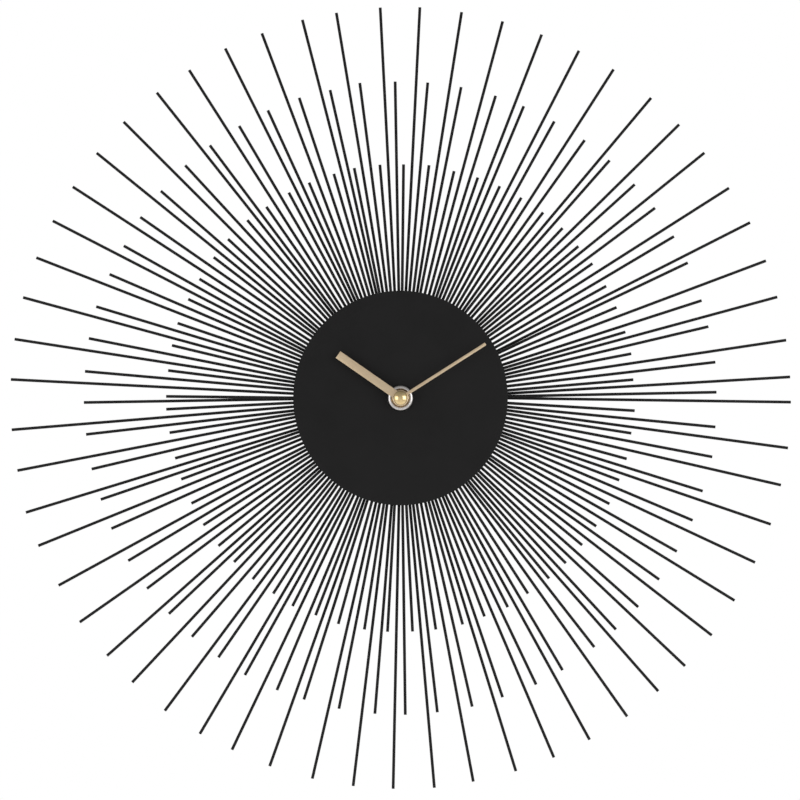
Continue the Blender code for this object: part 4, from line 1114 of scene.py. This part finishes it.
def make_knob(finishes):
    """A ribbed knob with a dished face, a bar to grip, and a flange behind the cover."""
    box = extent("setting_knob")
    x, z = centre = middle("setting_knob")
    knob = plate("knob", [knob_outline(centre)], box.back, box.front - KNOB_FLANGE / 2)
    softened(knob, 0.15, angle=60)
    slope = ((3.9, -0.1), (3.7, 0.1), (3.2, 0.45), (2.2, 0.6), (0, 0.65))
    dish = [(radius, box.back + depth) for radius, depth in slope]
    cut(knob, turned("dish", dish, sides=64, centre=centre))
    grip = rounded_rectangle(x - GRIP[0], x + GRIP[0], z - GRIP[1], z + GRIP[1], 0.5)
    bar = softened(plate("bar", [grip], box.back + 0.05, box.back + 0.9), 0.15)
    edge = reach("setting_knob", centre)
    back = box.front - KNOB_FLANGE
    disc = [(0, back), (edge, back), (edge, box.front), (0, box.front)]
    flange = turned("flange", disc, sides=64, centre=centre)
    merged(knob, bar, flange)
    piece(knob, finishes, "knob_plastic", "setting_knob", "setting_work", sharp=40)


# -------- the cell and its strips

def make_cell(finishes):
    """An AA cell: a sleeve crimped over its ends, a recessed flat end and a stepped positive cap."""
    box = extent("battery")
    radius = (box.front - box.back) / 2 / math.cos(math.pi / 24)
    right = box.right - CELL_CAP_LENGTH
    flat_end = ((0, 0.25), (5.4, 0.25), (5.7, 0), (6.6, 0), (6.95, 0.12), (radius, 0.45))
    shoulder = ((radius, -0.6), (6.98, -0.25), (6.6, -0.05), (6.1, 0), (5.8, -0.1), (5.6, -0.45),
                (3.6, -0.45), (3.3, -0.2), (CELL_CAP_RADIUS + 0.1, -0.05), (CELL_CAP_RADIUS, 0.1))
    cap = ((0, -0.35), (-0.1, -0.1), (-0.4, 0))
    profile = [(edge, box.left + place) for edge, place in flat_end]
    profile += [(edge, right + place) for edge, place in shoulder]
    profile += [(CELL_CAP_RADIUS + inset, box.right + place) for inset, place in cap]
    profile.append((0, box.right))
    centre = ((box.back + box.front) / 2, (box.bottom + box.top) / 2)
    cell = turned("cell_body", profile, along="x", centre=centre)
    piece(cell, finishes, "cell_jacket", "battery", "cell", sharp=50)


def make_positive_strip(finishes):
    """A plain spring strip by the cell's cap."""
    box = extent("contact_positive")
    x = (box.left + box.right) / 2
    outline = strip_outline([(x, box.bottom), (x, box.top)], STRIP)
    strip = softened(plate("strip_positive", [outline], box.back, box.front), 0.08, angle=40)
    piece(strip, finishes, "spring_steel", "contact_positive")


def make_negative_strip(finishes):
    """A spring strip with a bowed leaf by the cell's flat end. It turns to the right at the top."""
    box = extent("contact_negative")
    cell_z = middle("battery")[1]
    x = box.left + SPRING / 2
    top = box.top - SPRING / 2
    path = []
    for up in range(-LEAF_HALF_LENGTH, LEAF_HALF_LENGTH + 1):
        bow = LEAF_BOW / 2 * (1 + math.cos(math.pi * up / LEAF_HALF_LENGTH))
        path.append((x + bow, cell_z + up))
    path += [(x, top - 0.6), (x + 0.18, top - 0.18), (x + 0.6, top), (box.right, top)]
    outline = strip_outline(path, SPRING)
    strip = softened(plate("strip_negative", [outline], box.back, box.front), 0.06, angle=40)
    piece(strip, finishes, "spring_steel", "contact_negative")


# -------- the CAD nodes that stay

def finish_cad_nodes(finishes):
    """Gives each CAD node that still shows the finish of its slot in the record."""
    for subpart in frame["record"]["subparts"]:
        node = frame["nodes"][subpart["node"]]
        if not node.hide_render:
            node.data.materials.clear()
            node.data.materials.append(finishes[subpart["material_slot"]])


# -------- the studio

def make_floor():
    """A pale painted floor with faint clouds in it."""
    pale = (0.8, 0.8, 0.79)
    finish = Finish("floor", pale, 0.7)
    cloud = finish.noise(900, detail=3)
    finish.shade(cloud, pale, (0.84, 0.84, 0.83))
    disc = [(FLOOR_RADIUS, -FLOOR_DROP - FLOOR_THICKNESS), (FLOOR_RADIUS, -FLOOR_DROP)]
    floor = turned("floor", disc, along="z")
    floor.data.materials.append(finish.material)


def make_world():
    """White to the camera. To everything else, a grey room that is darker overhead and underfoot."""
    world = bpy.data.worlds.new("studio")
    bpy.context.scene.world = world
    world.use_nodes = True
    tree = world.node_tree
    room = tree.nodes["Background"]
    white = tree.nodes.new("ShaderNodeBackground")
    for light in (room, white):
        light.inputs["Color"].default_value = (1, 1, 1, 1)
    place = tree.nodes.new("ShaderNodeTexCoord")
    split = tree.nodes.new("ShaderNodeSeparateXYZ")
    height = tree.nodes.new("ShaderNodeMath")
    height.operation = "ABSOLUTE"
    shade = tree.nodes.new("ShaderNodeMapRange")
    shade.inputs["To Min"].default_value = HORIZON_LIGHT
    shade.inputs["To Max"].default_value = ZENITH_LIGHT
    path = tree.nodes.new("ShaderNodeLightPath")
    mix = tree.nodes.new("ShaderNodeMixShader")
    links = (
        (place.outputs["Generated"], split.inputs[0]),
        (split.outputs["Z"], height.inputs[0]),
        (height.outputs[0], shade.inputs["Value"]),
        (shade.outputs[0], room.inputs["Strength"]),
        (path.outputs["Is Camera Ray"], mix.inputs[0]),
        (room.outputs[0], mix.inputs[1]),
        (white.outputs[0], mix.inputs[2]),
        (mix.outputs[0], tree.nodes["World Output"].inputs["Surface"]),
    )
    for link in links:
        tree.links.new(*link)


def make_lamp(name, azimuth, elevation, distance, width, height, radiance):
    """A soft box that faces the clock. Azimuth 0 is the camera's side, and 90 is the clock's right."""
    turn, rise = math.radians(azimuth), math.radians(elevation)
    towards = Vector((math.sin(turn) * math.cos(rise), -math.cos(turn) * math.cos(rise), math.sin(rise)))
    data = bpy.data.lights.new(name, "AREA")
    data.shape = "RECTANGLE"
    data.size = width * MM
    data.size_y = height * MM
    data.energy = radiance * math.pi * data.size * data.size_y
    lamp = bpy.data.objects.new(name, data)
    lamp.location = towards * distance * MM
    lamp.rotation_mode = "QUATERNION"
    lamp.rotation_quaternion = towards.to_track_quat("Z", "Y")
    lamp.visible_camera = False
    bpy.context.scene.collection.objects.link(lamp)


def make_sky():
    """Soft light from above and behind the clock's face, which keeps the whole floor pale."""
    data = bpy.data.lights.new("sky", "SUN")
    data.energy = SKY_ENERGY
    data.angle = math.radians(SKY_ANGLE)
    sky = bpy.data.objects.new("sky", data)
    sky.rotation_euler = (math.radians(SKY_TILT), 0, 0)
    bpy.context.scene.collection.objects.link(sky)


def make_lamps():
    """Two soft boxes in front give the dome its twin highlights. The others light the floor and the back."""
    for name, setting in LAMPS.items():
        make_lamp(name, *setting)


def make_camera():
    """Straight in front. The clock's axis is a little to the right of and above the picture's middle."""
    depth = extent("ray_wheel_long").front
    data = bpy.data.cameras.new("camera")
    data.sensor_width = SENSOR_WIDTH
    data.lens = SENSOR_WIDTH * CAMERA_DISTANCE / PICTURE_WIDTH
    data.clip_start = 0.1
    data.clip_end = 100
    camera = bpy.data.objects.new("camera", data)
    camera.location = (PICTURE_CENTRE[0] * MM, -(depth + CAMERA_DISTANCE) * MM, PICTURE_CENTRE[1] * MM)
    camera.rotation_euler = (math.pi / 2, 0, 0)
    bpy.context.scene.collection.objects.link(camera)
    bpy.context.scene.camera = camera
    bpy.context.scene.view_settings.view_transform = "Standard"


# -------- the clock

def main():
    make_camera()
    make_world()
    make_sky()
    make_lamps()
    make_floor()
    finishes = make_finishes()
    for length in RAY_TIPS:
        make_ray_wheel(length, finishes)
    make_dial(finishes)
    make_dial_nuts(finishes)
    make_fixing_nut(finishes)
    make_bushing(finishes)
    make_washer(finishes)
    make_hand("hour_hand", "hour_work", HOUR_ANGLE, **HOUR_HAND)
    make_hand("minute_hand", "minute_work", MINUTE_ANGLE, **MINUTE_HAND)
    make_cap(finishes)
    make_hanger(finishes)
    make_case(finishes)
    make_cover(finishes)
    make_knob(finishes)
    make_cell(finishes)
    make_positive_strip(finishes)
    make_negative_strip(finishes)
    finish_cad_nodes(finishes)


main()
